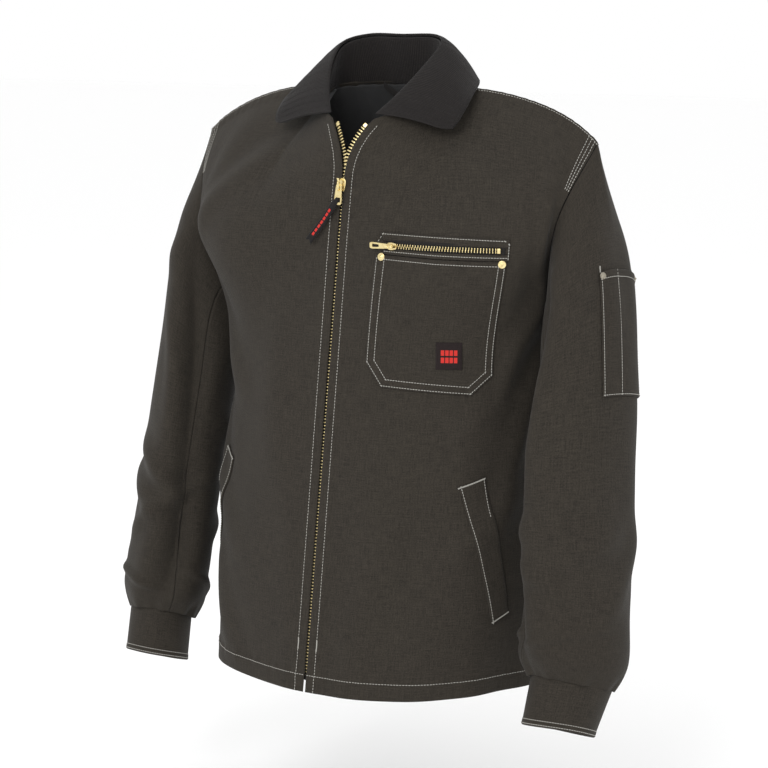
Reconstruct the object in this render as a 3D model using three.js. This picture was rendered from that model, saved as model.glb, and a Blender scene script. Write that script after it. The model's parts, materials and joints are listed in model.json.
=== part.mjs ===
// A zip-front canvas work jacket with a corduroy collar, as it hangs when filled by a wearer.
// Millimetres, +Z up, the front faces -Y and the wearer's left is +X. The origin lies midway
// between the two shoulder tips. Every cloth piece is a closed shell laid out on one of four
// surfaces: the body, the sleeve, the cuff and the collar.
import * as THREE from "three";

// ---- driving sizes ----------------------------------------------------------------
const DUCK = 2.0; // doubled cotton duck with its seam allowance
const SEAM_GAP = 0.3; // clearance between two sewn edges
const TRIM_LIFT = 1.0; // clearance between a patch and the panel under it
const PATCH = 1.3; // thickness of a patch pocket or welt
const LINING_DEPTH = 8.5; // how far the quilted lining lies inside the duck
const LINING = 1.4;
const ZIP_LINE = { y: -104, z: -47, lean: 0.137 }; // front edge: y = -104 + lean (z + 47)
const SLIT_HALF = 1.5; // half the gap between the closed front edges
const V_FOOT = -42; // height where the zip starts to open
const V_TOP = 21; // height of the front ends of the neckline
const V_HALF = 27; // half the opening at those ends
const TIP = [264, 2, 0]; // shoulder tip
const ARMHOLE_SLOPE = 0.27; // the armhole leans out by this much for each mm up
const NECK_SIDE = [78, -5, 57];
const NECK_SHARE = 0.34; // share of the top edge that is neckline; the rest is shoulder seam

// Body stations from the hem to the armpit: height at centre front, side point,
// centre back y and z, and how square the girth is.
const STATIONS = [
  { zf: -614, side: [204, -12, -608], back: [148, -620], square: 2.2 },
  { zf: -480, side: [209, -6, -480], back: [140, -486], square: 2.25 },
  { zf: -350, side: [203, 0, -350], back: [134, -352], square: 2.25 },
  { zf: -215, side: [205, 4, -218], back: [128, -215], square: 2.3 },
];
const ARMHOLE_MID = { z: -95, front: -47, back: 54, centreBack: 116 };
const TOP_ROW = 5; // station number of the neckline and shoulder seams
const ARMPIT_ROW = 3;

// Sleeve rings: centre, long and short half axes, turn in degrees, tilt across and forward.
const RINGS = [
  [254, -8, -170, 63, 39, 84, 1.35, -0.17],
  [264, -28, -272, 62, 46, 64, 0.45, -0.17],
  [272, -52, -390, 66, 48, 50, 0.1, -0.17],
  [279, -66, -490, 65, 49, 44, 0, -0.17],
  [283, -75, -552, 63, 49, 42, 0, -0.25],
  [285, -81, -583, 47, 38, 40, 0, -0.35],
];
const SLEEVE_END = RINGS.length;
const CUFF_TOP = [286, -82, -586, 44, 36, 40, 0, -0.35];
const CUFF_END = [280, -99, -632, 39, 36, 40, 0, -0.35];

// ---- small maths --------------------------------------------------------------------
const vec = (p) => new THREE.Vector3(p[0], p[1], p[2]);
const mix = (a, b, t) => a.map((x, i) => x + (b[i] - x) * t);
const clamp = (x, low, high) => Math.min(high, Math.max(low, x));
const radians = (d) => (d * Math.PI) / 180;

function quadratic(a, b, c, t) {
  return a.map((x, i) => (1 - t) ** 2 * x + 2 * t * (1 - t) * b[i] + t * t * c[i]);
}

function cubic(a, b, c, d, t) {
  const r = 1 - t;
  return a.map((x, i) => r ** 3 * x + 3 * t * r * r * b[i] + 3 * t * t * r * c[i] + t ** 3 * d[i]);
}

// A smooth curve through the points, one per whole number of v, that ends with the given tangent.
// set holds slopes that are given at a point instead of taken from its neighbours.
function through(points, endTangent, v, set = {}) {
  const last = points.length - 1;
  const i = clamp(Math.floor(v), 0, last - 1);
  const t = v - i;
  const slope = (k) => {
    if (set[k]) return set[k];
    if (k === 0) return points[1].map((x, a) => x - points[0][a]);
    if (k === last) return endTangent;
    return points[k + 1].map((x, a) => (x - points[k - 1][a]) / 2);
  };
  const [m0, m1] = [slope(i), slope(i + 1)];
  const [h0, g0] = [2 * t ** 3 - 3 * t * t + 1, t ** 3 - 2 * t * t + t];
  const [h1, g1] = [-2 * t ** 3 + 3 * t * t, t ** 3 - t * t];
  return points[i].map((x, a) => h0 * x + g0 * m0[a] + h1 * points[i + 1][a] + g1 * m1[a]);
}

// ---- the body surface ---------------------------------------------------------------
const zipY = (z) => ZIP_LINE.y + ZIP_LINE.lean * (z - ZIP_LINE.z);
const armholeX = (z) => TIP[0] + ARMHOLE_SLOPE * z;

function quarterGirth(s, square) {
  const [sine, cosine] = [Math.sin(radians(90 * s)), Math.cos(radians(90 * s))];
  const k = (Math.abs(sine) ** square + Math.abs(cosine) ** square) ** (-1 / square);
  return [sine * k, cosine * k];
}

const shoulderSeam = (t) => cubic(NECK_SIDE, [150, 4, 56], [222, 10, 38], TIP, t);

function topEdge(s, back) {
  if (s >= NECK_SHARE) return shoulderSeam((s - NECK_SHARE) / (1 - NECK_SHARE));
  const t = s / NECK_SHARE;
  if (back) return quadratic([0, 27, 62], [58, 30, 62], NECK_SIDE, t);
  return quadratic([0, -95, 14], [66, -76, 32], NECK_SIDE, t);
}

function topTangent(s, back) {
  const u = clamp(s / NECK_SHARE, 0, 1);
  const w = clamp((s - NECK_SHARE) / (1 - NECK_SHARE), 0, 1);
  const [neck, ridge, tip] = back
    ? [[0, -85, 110], [-8, -110, 80], [14, -62, 80]]
    : [[0, 16, 110], [-8, 100, 80], [14, 62, 80]];
  return s < NECK_SHARE ? mix(neck, ridge, u) : mix(ridge, tip, w);
}

function girth(row, s, back) {
  if (row === TOP_ROW) return topEdge(s, back);
  if (row > ARMPIT_ROW) {
    const [x, y] = quarterGirth(s, 2.6);
    const { z, front, back: rear, centreBack } = ARMHOLE_MID;
    if (!back) return [armholeX(z) * x, front + (zipY(z) - front) * y, z];
    return [armholeX(z) * x, rear + (centreBack - rear) * y, z - 3 + 15 * y * y];
  }
  const { zf, side, back: rear, square } = STATIONS[row];
  const [x, y] = quarterGirth(s, square);
  const [endY, endZ] = back ? rear : [zipY(zf), zf];
  return [side[0] * x, side[1] + (endY - side[1]) * y, side[2] + (endZ - side[2]) * y * y];
}

// s runs 0 at the centre to 1 at the side seam or armhole, v from 0 at the hem to 5 at the top.
// Past either edge the surface goes on over the seam, so that normals agree across it.
function body(s, v, back = false) {
  if (v > TOP_ROW) return body(s, 2 * TOP_ROW - v, !back);
  if (s > 1 && v < ARMPIT_ROW) return body(2 - s, v, !back);
  if (s < 0) return mirrorX(body(-s, v, back));
  const rows = [0, 1, 2, 3, 4, 5].map((row) => girth(row, s, back));
  const rise = (below, above) => above.map((x, a) => (x - below[a]) / 2);
  const own = rise(rows[ARMPIT_ROW - 1], rows[ARMPIT_ROW + 1]);
  const armpit = { [ARMPIT_ROW]: mix(own, rise(rows[ARMPIT_ROW - 1], ARMHOLE_CENTRE), s ** 4) };
  return through(rows, topTangent(s, back), v, armpit);
}

// Front and back leave the armpit in one direction, towards the middle of the armhole.
const ARMHOLE_CENTRE = [238, 3.5, -96.5];

const mirrorX = (p) => [-p[0], p[1], p[2]];
const half = (side, p) => (side > 0 ? p : mirrorX(p));

// Half the gap between the front edges at a height.
function frontGap(z) {
  const t = clamp((z - V_FOOT) / (V_TOP - V_FOOT), 0, 1.2);
  return SLIT_HALF + (V_HALF - SLIT_HALF) * t * t;
}

// The s at which the front surface stands a distance off the front edge.
function besideZip(off, v) {
  let s = 0.02;
  for (let k = 0; k < 14; k++) {
    const p = body(s, v);
    s *= clamp((frontGap(p[2]) + off) / Math.max(p[0], 1e-6), 0.2, 5);
  }
  return s;
}

// ---- the sleeve and cuff surfaces -----------------------------------------------------
// turn is 0 on the outside, 90 in front, 180 against the body and 270 behind, in degrees.
function armhole(turn) {
  const d = ((turn % 360) + 360) % 360;
  if (d <= 180) return body(1, TOP_ROW - d / 90);
  return body(1, ARMPIT_ROW + (d - 180) / 90, true);
}

function ring([cx, cy, cz, long, short, beta, across, forward], turn) {
  const b = radians(beta);
  const p = long * Math.cos(radians(turn) + b);
  const q = short * Math.sin(radians(turn) + b);
  const dx = p * Math.cos(b) + q * Math.sin(b);
  const dy = p * Math.sin(b) - q * Math.cos(b);
  return [cx + dx, cy + dy, cz + across * dx + forward * dy];
}

function sleeve(turn, w) {
  const points = [armhole(turn), ...RINGS.map((r) => ring(r, turn))];
  const [before, end] = points.slice(-2);
  return through(points, end.map((x, i) => 0.6 * (x - before[i])), w);
}

const cuff = (turn, w) => ring(mix(CUFF_TOP, CUFF_END, w), turn);

// ---- the collar surface ---------------------------------------------------------------
// t runs 0 at the centre back to 1 at the front end, in five steps.
const FOLD = [[0, 16, 113], [44, 15, 113], [66, -6, 104], [62, -35, 80], [47, -62, 51], [30, -83, 28]];
const FALL = [[0, 48, 61], [54, 43, 61], [104, 14, 63], [122, -28, 47], [125, -54, 27], [119, -68, 9]];
const NECKLINE = [[0, 27, 63], [38, 26, 63], [74, 6, 59], [76, -26, 50], [60, -63, 34], [29, -86, 23]];

function collarLine(points, t) {
  const v = Math.abs(t) * 5;
  const end = points[5].map((x, i) => x - points[4][i]);
  const mirrored = [mirrorX(points[1]), ...points];
  const p = through(mirrored, end, v + 1);
  return half(t < 0 ? -1 : 1, p);
}

// The stand rises from the neckline and stops a little short of the fold, inside the fall.
const UNDER_FOLD = 7;
function stand(t, w) {
  const [base, top] = [collarLine(NECKLINE, t), collarLine(FOLD, t)];
  const height = Math.hypot(...base.map((x, i) => top[i] - x));
  return mix(base, top, w * (1 - UNDER_FOLD / height));
}

function fall(t, w) {
  const [top, edge] = [collarLine(FOLD, t), collarLine(FALL, t)];
  const over = [(top[0] + edge[0]) / 2, (top[1] + edge[1]) / 2, top[2] - 2];
  return quadratic(top, over, edge, w);
}

// ---- solids ---------------------------------------------------------------------------
// Turns a list of vertices and faces into a closed geometry whose faces point out.
function closed(points, faces) {
  let volume = 0;
  for (const [a, b, c] of faces) {
    volume += vec(points[a]).dot(vec(points[b]).cross(vec(points[c])));
  }
  const index = faces.flatMap(([a, b, c]) => (volume > 0 ? [a, b, c] : [a, c, b]));
  const geometry = new THREE.BufferGeometry();
  geometry.setAttribute("position", new THREE.Float32BufferAttribute(points.flat(), 3));
  geometry.setIndex(index);
  geometry.computeVertexNormals();
  return geometry;
}

// The normal right at a seam is shared by both of its edges, so those edges are laid on it.
const onSeam = (x) => (Math.abs(x - Math.round(x)) < 4e-3 ? Math.round(x) : x);

function normalAt(surface, atS, atT) {
  const e = 1e-3;
  const [s, t] = [onSeam(atS), onSeam(atT)];
  const ds = vec(surface(s + e, t)).sub(vec(surface(s - e, t)));
  const dt = vec(surface(s, t + e)).sub(vec(surface(s, t - e)));
  return ds.cross(dt).normalize();
}

// A sheet of cloth: rows and columns of a surface, given a thickness. lift is the distance of
// its outer face from the surface, along the surface's normal times out. t holds the first and
// last row, with nT steps between them, or every row where nT is left out. ease over 1 crowds
// the columns towards the first edge.
function sheet(surface, { s, t, nS, nT: steps, lift = 0, thick = DUCK, out = 1,
  ease = 1, ring: wraps = false }) {
  const rowList = steps ? [...Array(steps + 1).keys()].map((j) => t[0] + ((t[1] - t[0]) * j) / steps) : t;
  const nT = rowList.length - 1;
  const columns = wraps ? nS : nS + 1;
  const points = [];
  const at = (i, j, face) => (face * (nT + 1) + j) * columns + (i % columns);
  for (const depth of [lift, lift - thick]) {
    for (let j = 0; j <= nT; j++) {
      for (let i = 0; i < columns; i++) {
        const b = rowList[j];
        const [low, high] = typeof s === "function" ? s(b) : s;
        const a = low + (high - low) * (i / nS) ** ease;
        const n = normalAt(surface, a, b).multiplyScalar(out * depth);
        const p = surface(a, b);
        points.push([p[0] + n.x, p[1] + n.y, p[2] + n.z]);
      }
    }
  }
  const faces = [];
  const quad = (a, b, c, d) => faces.push([a, b, c], [a, c, d]);
  for (let j = 0; j < nT; j++) {
    for (let i = 0; i < nS; i++) {
      quad(at(i, j, 0), at(i + 1, j, 0), at(i + 1, j + 1, 0), at(i, j + 1, 0));
      quad(at(i, j, 1), at(i, j + 1, 1), at(i + 1, j + 1, 1), at(i + 1, j, 1));
    }
    if (!wraps) {
      quad(at(0, j, 0), at(0, j + 1, 0), at(0, j + 1, 1), at(0, j, 1));
      quad(at(nS, j, 0), at(nS, j, 1), at(nS, j + 1, 1), at(nS, j + 1, 0));
    }
  }
  for (let i = 0; i < nS; i++) {
    quad(at(i, 0, 0), at(i, 0, 1), at(i + 1, 0, 1), at(i + 1, 0, 0));
    quad(at(i, nT, 0), at(i + 1, nT, 0), at(i + 1, nT, 1), at(i, nT, 1));
  }
  return closed(points, faces);
}

// ---- materials and the group ----------------------------------------------------------
const finish = (color, roughness, metalness = 0) =>
  new THREE.MeshStandardMaterial({ color, roughness, metalness, side: THREE.DoubleSide });
const MATERIALS = {
  duck: finish("#453f38", 0.95),
  corduroy: finish("#373132", 0.98),
  lining: finish("#2b2b2c", 0.5),
  tape: finish("#33302c", 0.9),
  strap: finish("#1d1b1b", 0.85),
  brass: finish("#d8c48c", 0.3, 1),
  antique: finish("#8f7d5e", 0.45, 1),
  badge: finish("#4a2a26", 0.9),
};

const jacket = new THREE.Group();
function add(name, material, geometry, parent = jacket) {
  const mesh = new THREE.Mesh(geometry, MATERIALS[material]);
  mesh.name = name;
  parent.add(mesh);
  return mesh;
}
const SIDES = [["left", 1], ["right", -1]];

// ---- body panels ------------------------------------------------------------------------
const sewn = (mm, span) => mm / span; // an edge inset in the surface's own units
const TOP_INSET = sewn(SEAM_GAP, 110);
const SIDE_INSET = sewn(SEAM_GAP, 300);
const BODY_ROWS = [
  0, 0.5, 1, 1.5, 2, 2.3, 2.5, 2.7, 2.85, 3,
  3.15, 3.3, 3.5, 3.75, 4, 4.25, 4.5, 4.7, 4.87,
];
const PANEL_ROWS = [...BODY_ROWS, TOP_ROW - TOP_INSET];
const LINING_ROWS = [0.2, 1, 2, 2.5, 3, 3.5, 4, 4.4, 4.7, 4.86];

for (const [name, side] of SIDES) {
  const front = (s, v) => half(side, body(s, v));
  const columns = (v) => [besideZip(0, v), 1 - SIDE_INSET];
  add(`front_panel_${name}`, "duck", sheet(front, {
    s: columns, t: PANEL_ROWS, nS: 11, ease: 1.3, out: side,
  }));
  const lined = (v) => [besideZip(19, v), 1 - SIDE_INSET];
  add(`front_lining_${name}`, "lining", sheet(front, {
    s: lined, t: LINING_ROWS, nS: 7, lift: -LINING_DEPTH, thick: LINING, out: side,
  }));
  // The facing is a second strip of duck along the zip, under the tape.
  const faced = (v) => [besideZip(5, v), besideZip(16, v)];
  add(`front_facing_${name}`, "duck", sheet(front, {
    s: faced, t: [0.05, 1, 2, 3, 4, 4.4], nS: 1, lift: -5.6, thick: 1.2, out: side,
  }));
}

const backHalf = (s, v) => (s < 0 ? mirrorX(body(-s, v, true)) : body(s, v, true));
const backEdges = [-1 + SIDE_INSET, 1 - SIDE_INSET];
add("back_panel", "duck", sheet(backHalf, {
  s: backEdges, t: PANEL_ROWS, nS: 20, out: -1,
}));
add("back_lining", "lining", sheet(backHalf, {
  s: backEdges, t: LINING_ROWS, nS: 14, lift: -LINING_DEPTH, thick: LINING, out: -1,
}));

// ---- sleeves and cuffs --------------------------------------------------------------------
const ARMHOLE_CLEAR = 0.045; // the sleeve head starts this far down the first span, in its units
const FRONT_SEAM = 140; // turn of the seam between upper and under sleeve, in degrees
const BACK_SEAM = -65;
const SEAM_TURN = 0.15;

for (const [name, side] of SIDES) {
  const arm = (turn, w) => half(side, sleeve(turn, w));
  const t = [ARMHOLE_CLEAR, SLEEVE_END];
  add(`upper_sleeve_${name}`, "duck", sheet(arm, {
    s: [BACK_SEAM + SEAM_TURN, FRONT_SEAM - SEAM_TURN], t, nS: 11, nT: 15, out: side,
  }));
  add(`under_sleeve_${name}`, "duck", sheet(arm, {
    s: [FRONT_SEAM + SEAM_TURN, 360 + BACK_SEAM - SEAM_TURN], t, nS: 8, nT: 15, out: side,
  }));
  add(`sleeve_lining_${name}`, "lining", sheet(arm, {
    s: [0, 360], t: [0.9, SLEEVE_END - 0.25], nS: 14, nT: 9,
    lift: -5.5, thick: LINING, out: side, ring: true,
  }));
  const wrist = (turn, w) => half(side, cuff(turn, w));
  add(`cuff_${name}`, "duck", sheet(wrist, {
    s: [0, 360], t: [0, 1], nS: 24, nT: 3, thick: 2.6, out: side, ring: true,
  }));
}

// ---- collar -------------------------------------------------------------------------------
const CORD = 2.4; // corduroy over its interlining
add("collar_stand", "corduroy", sheet(stand, {
  s: [-0.93, 0.93], t: [0.03, 1], nS: 24, nT: 2, lift: CORD, thick: CORD, out: 1,
}));
add("collar_fall", "corduroy", sheet(fall, {
  s: [-1, 1], t: [0, 1], nS: 28, nT: 5, lift: CORD / 2, thick: CORD, out: -1,
}));

// ---- main zip -----------------------------------------------------------------------------
const CHAIN_HALF = 1.2; // half width of one side's teeth
const CHAIN_DEPTH = 3.0;
const TAPE = 0.7;
// Rows of the zip: far apart along its straight closed part, close together round the V.
const ZIP_ROWS = [0.16, 1, 2, 3, 4, 4.3, 4.44, 4.49, 4.54, 4.59, 4.65, 4.72, 4.79, 4.86, 4.93];

// Where one side's teeth run from the front edge: behind it when closed, beyond it when open.
function chainOff(v) {
  const z = body(0, v)[2];
  const open = clamp((z - V_FOOT) / 16, 0, 1);
  return 0.85 - 3.0 * open;
}

for (const [name, side] of SIDES) {
  const front = (s, v) => half(side, body(s, v));
  const teeth = (v) => {
    const centre = chainOff(v);
    return [besideZip(centre - CHAIN_HALF, v), besideZip(centre + CHAIN_HALF, v)];
  };
  const woven = (v) => {
    const centre = chainOff(v);
    return [besideZip(centre + CHAIN_HALF + 0.5, v), besideZip(centre + CHAIN_HALF + 12, v)];
  };
  add(`zip_teeth_${name}`, "brass", sheet(front, {
    s: teeth, t: ZIP_ROWS, nS: 1, lift: -2.4, thick: CHAIN_DEPTH, out: side,
  }));
  add(`zip_tape_${name}`, "tape", sheet(front, {
    s: woven, t: ZIP_ROWS, nS: 1, lift: -4.0, thick: TAPE, out: side,
  }));
  const stop = (v) => {
    const centre = chainOff(v);
    return [besideZip(centre - 1.7, v), besideZip(centre + 1.7, v)];
  };
  add(`zip_top_stop_${name}`, "brass", sheet(front, {
    s: stop, t: [4.945, 4.985], nS: 1, nT: 1, lift: -2.2, thick: 3.6, out: side,
  }));
}

// Pieces of the slider are drawn in its own frame: x across, y down the zip, z out of the jacket.
function extrude(outline, depth, hole) {
  const shape = new THREE.Shape(outline.map(([x, y]) => new THREE.Vector2(x, y)));
  if (hole) {
    const cut = new THREE.Path();
    cut.absellipse(hole[0], hole[1], hole[2], hole[3], 0, 2 * Math.PI, true);
    shape.holes.push(cut);
  }
  return new THREE.ExtrudeGeometry(shape, { depth, bevelEnabled: false, curveSegments: 6 });
}

const down = new THREE.Vector3(0, -ZIP_LINE.lean, -1).normalize();
const outward = new THREE.Vector3(0, -1, ZIP_LINE.lean).normalize();
const sliderFrame = new THREE.Group();
const across = new THREE.Vector3().crossVectors(down, outward);
sliderFrame.matrixAutoUpdate = false;
sliderFrame.matrix.makeBasis(across, down, outward).setPosition(0, ZIP_LINE.y, ZIP_LINE.z);
jacket.add(sliderFrame);

// The slider's section across the zip is an I: a front plate, a web through the slit, a back plate.
const I_SECTION = [
  [-5.2, 0.7], [-0.7, 0.7], [-0.7, -6.2], [-4.6, -6.2], [-4.6, -7.6], [4.6, -7.6],
  [4.6, -6.2], [0.7, -6.2], [0.7, 0.7], [5.2, 0.7], [5.2, 2.3], [2.2, 2.3],
  [2.2, 4.6], [-2.2, 4.6], [-2.2, 2.3], [-5.2, 2.3],
];
const SLIDER_LENGTH = 15;
const slider = extrude(I_SECTION, SLIDER_LENGTH);
slider.rotateX(Math.PI / 2);
slider.translate(0, SLIDER_LENGTH - 4, 0);
add("zip_slider", "brass", slider, sliderFrame);

// The pull hangs in front of the slider from its bridge, and the woven strap hangs from the pull.
const PULL_PIVOT = [0, 5, 5.9];
const PULL_OUTLINE = [[-2.6, -0.9], [2.6, -0.9], [4.0, 18], [3.2, 21], [-3.2, 21], [-4.0, 18]];
const PULL_HOLE = 16;
const pull = extrude(PULL_OUTLINE, 1.6, [0, PULL_HOLE, 1.9, 2.3]);
pull.translate(PULL_PIVOT[0], PULL_PIVOT[1], PULL_PIVOT[2] - 0.8);
add("zip_pull", "brass", pull, sliderFrame);

const STRAP_LENGTH = 61;
const STRAP_WIDTH = 9;
const STRAP_LEAN = 35; // degrees from the zip line towards the wearer's right
const strap = extrude([
  [-STRAP_WIDTH / 2, 0], [STRAP_WIDTH / 2, 0], [STRAP_WIDTH / 2, STRAP_LENGTH],
  [0, STRAP_LENGTH - 3], [-STRAP_WIDTH / 2, STRAP_LENGTH],
], 1.8);
strap.rotateZ(-radians(STRAP_LEAN));
strap.translate(0, PULL_PIVOT[1] + PULL_HOLE - 2, 7.1);
add("puller_strap", "strap", strap, sliderFrame);

// The zip ends in a retaining box and the pin that slips into it.
const BOTTOM_Z = -597;
const foot = new THREE.Group();
foot.matrixAutoUpdate = false;
foot.matrix.makeBasis(across, down, outward).setPosition(0, zipY(BOTTOM_Z), BOTTOM_Z);
jacket.add(foot);
const BOX_WIDE = 3.4;
for (const [name, side] of SIDES) {
  const piece = new THREE.BoxGeometry(BOX_WIDE, 9, 3.4);
  piece.translate(-side * (BOX_WIDE / 2 + 0.4), 0, -4.4);
  add(side > 0 ? "zip_box" : "zip_pin", "brass", piece, foot);
}

// ---- chest pocket, on the wearer's left -------------------------------------------------------
const chest = (s, v) => body(s, v);

// A patch whose left and right edges are lines of [row, s], so that it can have cut corners.
function patch(name, material, edges, options) {
  const rows = edges.map((e) => e[0]);
  const sides = (v) => {
    let k = rows.findIndex((row, i) => i > 0 && v >= row - 1e-9);
    if (k < 0) k = rows.length - 1;
    const [above, below] = [edges[k - 1], edges[k]];
    const t = (v - above[0]) / (below[0] - above[0]);
    return [above[1] + (below[1] - above[1]) * t, above[2] + (below[2] - above[2]) * t];
  };
  const t = [rows[rows.length - 1], rows[0]];
  add(name, material, sheet(chest, { s: sides, t, ...options }));
}

const ZIP_ROW = 3.853;
patch("chest_zip_panel_top", "duck", [[3.955, 0.155, 0.605], [3.888, 0.165, 0.607]],
  { nS: 9, nT: 1, lift: TRIM_LIFT + PATCH, thick: PATCH });
patch("chest_zip_panel_bottom", "duck", [[3.818, 0.172, 0.61], [3.772, 0.176, 0.613]],
  { nS: 9, nT: 1, lift: TRIM_LIFT + PATCH, thick: PATCH });
patch("chest_pocket", "duck", [[3.765, 0.146, 0.606], [2.75, 0.158, 0.642], [2.585, 0.222, 0.56]],
  { nS: 9, nT: 13, lift: TRIM_LIFT + PATCH, thick: PATCH });

// The woven badge is stiff enough to stay flat on the pocket.
const BADGE = { s: 0.457, row: 2.88, wide: 29, high: 30, thick: 1 };
const badge = add("chest_badge", "badge", new THREE.BoxGeometry(BADGE.wide, BADGE.high, BADGE.thick));
const badgeNormal = normalAt(chest, BADGE.s, BADGE.row);
const badgeLift = TRIM_LIFT + PATCH + 1.4;
const badgeSide = new THREE.Vector3(-badgeNormal.y, badgeNormal.x, 0).normalize();
const badgeUp = new THREE.Vector3().crossVectors(badgeNormal, badgeSide);
badge.quaternion.setFromRotationMatrix(new THREE.Matrix4().makeBasis(badgeSide, badgeUp, badgeNormal));
badge.position.copy(vec(chest(BADGE.s, BADGE.row)).addScaledVector(badgeNormal, badgeLift));

// The chest zip lies on an upright circular arc that follows the chest.
function circleThrough([ax, ay], [bx, by], [cx, cy]) {
  const d = 2 * (ax * (by - cy) + bx * (cy - ay) + cx * (ay - by));
  const [a, b, c] = [ax * ax + ay * ay, bx * bx + by * by, cx * cx + cy * cy];
  const x = (a * (by - cy) + b * (cy - ay) + c * (ay - by)) / d;
  const y = (a * (cx - bx) + b * (ax - cx) + c * (bx - ax)) / d;
  return { x, y, r: Math.hypot(ax - x, ay - y) };
}
const chestAt = (s) => body(s, ZIP_ROW);
const ARC = circleThrough(chestAt(0.18), chestAt(0.38), chestAt(0.58));
const CHEST_Z = -113.5;
const arcTurn = (p) => Math.atan2(p[0] - ARC.x, ARC.y - p[1]);
const ARC_START = arcTurn(chestAt(0.2));
const ARC_END = arcTurn(chestAt(0.565));

// A box bent along the arc, from one turn to another, with a depth and a height range.
function bentBox(from, to, steps, depth, height) {
  const points = [];
  const faces = [];
  for (let k = 0; k <= steps; k++) {
    const turn = from + ((to - from) * k) / steps;
    for (const [d, z] of [[0, 0], [1, 0], [1, 1], [0, 1]]) {
      const r = ARC.r + depth[d];
      points.push([ARC.x + r * Math.sin(turn), ARC.y - r * Math.cos(turn), CHEST_Z + height[z]]);
    }
  }
  for (let k = 0; k < steps; k++) {
    for (let a = 0; a < 4; a++) {
      const b = (a + 1) % 4;
      faces.push([4 * k + a, 4 * k + b, 4 * k + 4 + b], [4 * k + a, 4 * k + 4 + b, 4 * k + 4 + a]);
    }
  }
  const end = 4 * steps;
  faces.push([0, 2, 1], [0, 3, 2], [end, end + 1, end + 2], [end, end + 2, end + 3]);
  return closed(points, faces);
}
const arcMm = (mm) => mm / ARC.r;
add(
  "chest_zip_tape", "tape",
  bentBox(ARC_START - arcMm(6), ARC_END + arcMm(5), 14, [0.6, 1.2], [-3.6, 3.6]),
);
add("chest_zip_chain", "brass", bentBox(ARC_START + arcMm(7), ARC_END - arcMm(2), 14, [1.5, 3.1], [-2, 2]));
add(
  "chest_zip_stop", "brass",
  bentBox(ARC_END - arcMm(1.4), ARC_END + arcMm(2), 1, [1.5, 3.6], [-2.6, 2.6]),
);

// The chest slider is a C that wraps the front of the chain, and its pull lies back along the tape.
add(
  "chest_zip_slider", "brass",
  bentBox(ARC_START - arcMm(6), ARC_START + arcMm(6.5), 3, [3.5, 5.2], [-3.6, 3.6]),
);
const pullFrame = new THREE.Group();
pullFrame.position.set(
  ARC.x + (ARC.r + 6.6) * Math.sin(ARC_START),
  ARC.y - (ARC.r + 6.6) * Math.cos(ARC_START),
  CHEST_Z,
);
pullFrame.rotation.set(Math.PI / 2, 0, ARC_START, "ZYX");
jacket.add(pullFrame);
const CHEST_PULL = [[1, -2], [1, 2], [-25, 3.6], [-28, 2.6], [-28, -2.6], [-25, -3.6]];
const chestPull = extrude(CHEST_PULL, 1.4, [-22, 0, 3, 1.7]);
chestPull.translate(0, 0, -0.7);
add("chest_zip_pull", "brass", chestPull, pullFrame);

// ---- rivets -----------------------------------------------------------------------------------
// A tubular rivet's domed head on a short shank-free base, set square to the cloth.
const RIVET_R = 4.5;
function rivet(name, material, surface, s, t, lift, out = 1) {
  const profile = [[0, 0], [RIVET_R, 0], [RIVET_R, 0.7], [3.6, 1.5], [2.2, 2.0], [1.2, 1.9], [0, 2.2]];
  const head = new THREE.LatheGeometry(profile.map(([x, y]) => new THREE.Vector2(x, y)), 20);
  const mesh = add(name, material, head);
  const normal = normalAt(surface, s, t).multiplyScalar(out);
  mesh.position.copy(vec(surface(s, t)).addScaledVector(normal, lift));
  mesh.quaternion.setFromUnitVectors(new THREE.Vector3(0, 1, 0), normal);
}
const RIVET_LIFT = TRIM_LIFT + PATCH + 0.5;
rivet("chest_rivet_inner", "brass", chest, 0.166, 3.742, RIVET_LIFT);
rivet("chest_rivet_outer", "brass", chest, 0.588, 3.74, RIVET_LIFT);

// ---- hand pockets -------------------------------------------------------------------------------
// Each is a slanted welt on the outside and a flat bag between the duck and the lining.
const WELT = { top: [1.845, 0.526, 0.629], bottom: [0.663, 0.684, 0.758] };
for (const [name, side] of SIDES) {
  const front = (s, v) => half(side, body(s, v));
  const edges = (v) => {
    const t = (v - WELT.top[0]) / (WELT.bottom[0] - WELT.top[0]);
    return [mix(WELT.top, WELT.bottom, t)[1], mix(WELT.top, WELT.bottom, t)[2]];
  };
  add(`pocket_welt_${name}`, "duck", sheet(front, {
    s: edges, t: [WELT.bottom[0], WELT.top[0]], nS: 2, nT: 8,
    lift: TRIM_LIFT + PATCH, thick: PATCH, out: side,
  }));
  add(`pocket_bag_${name}`, "lining", sheet(front, {
    s: [0.3, 0.8], t: [0.4, 2.0], nS: 6, nT: 8, lift: -3.4, thick: 2.2, out: side,
  }));
}

// ---- pen pocket on the left sleeve ----------------------------------------------------------------
const PEN = { front: 27, rear: -38, top: 1.22, bottom: 2.14 };
add("pen_pocket", "duck", sheet(sleeve, {
  s: [PEN.rear, PEN.front], t: [PEN.top, PEN.bottom], nS: 6, nT: 5, lift: TRIM_LIFT + PATCH, thick: PATCH,
}));
rivet("pen_rivet_front", "antique", sleeve, PEN.front - 3, PEN.top + 0.035, RIVET_LIFT);
rivet("pen_rivet_rear", "antique", sleeve, PEN.rear + 4, PEN.top + 0.035, RIVET_LIFT);

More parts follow.
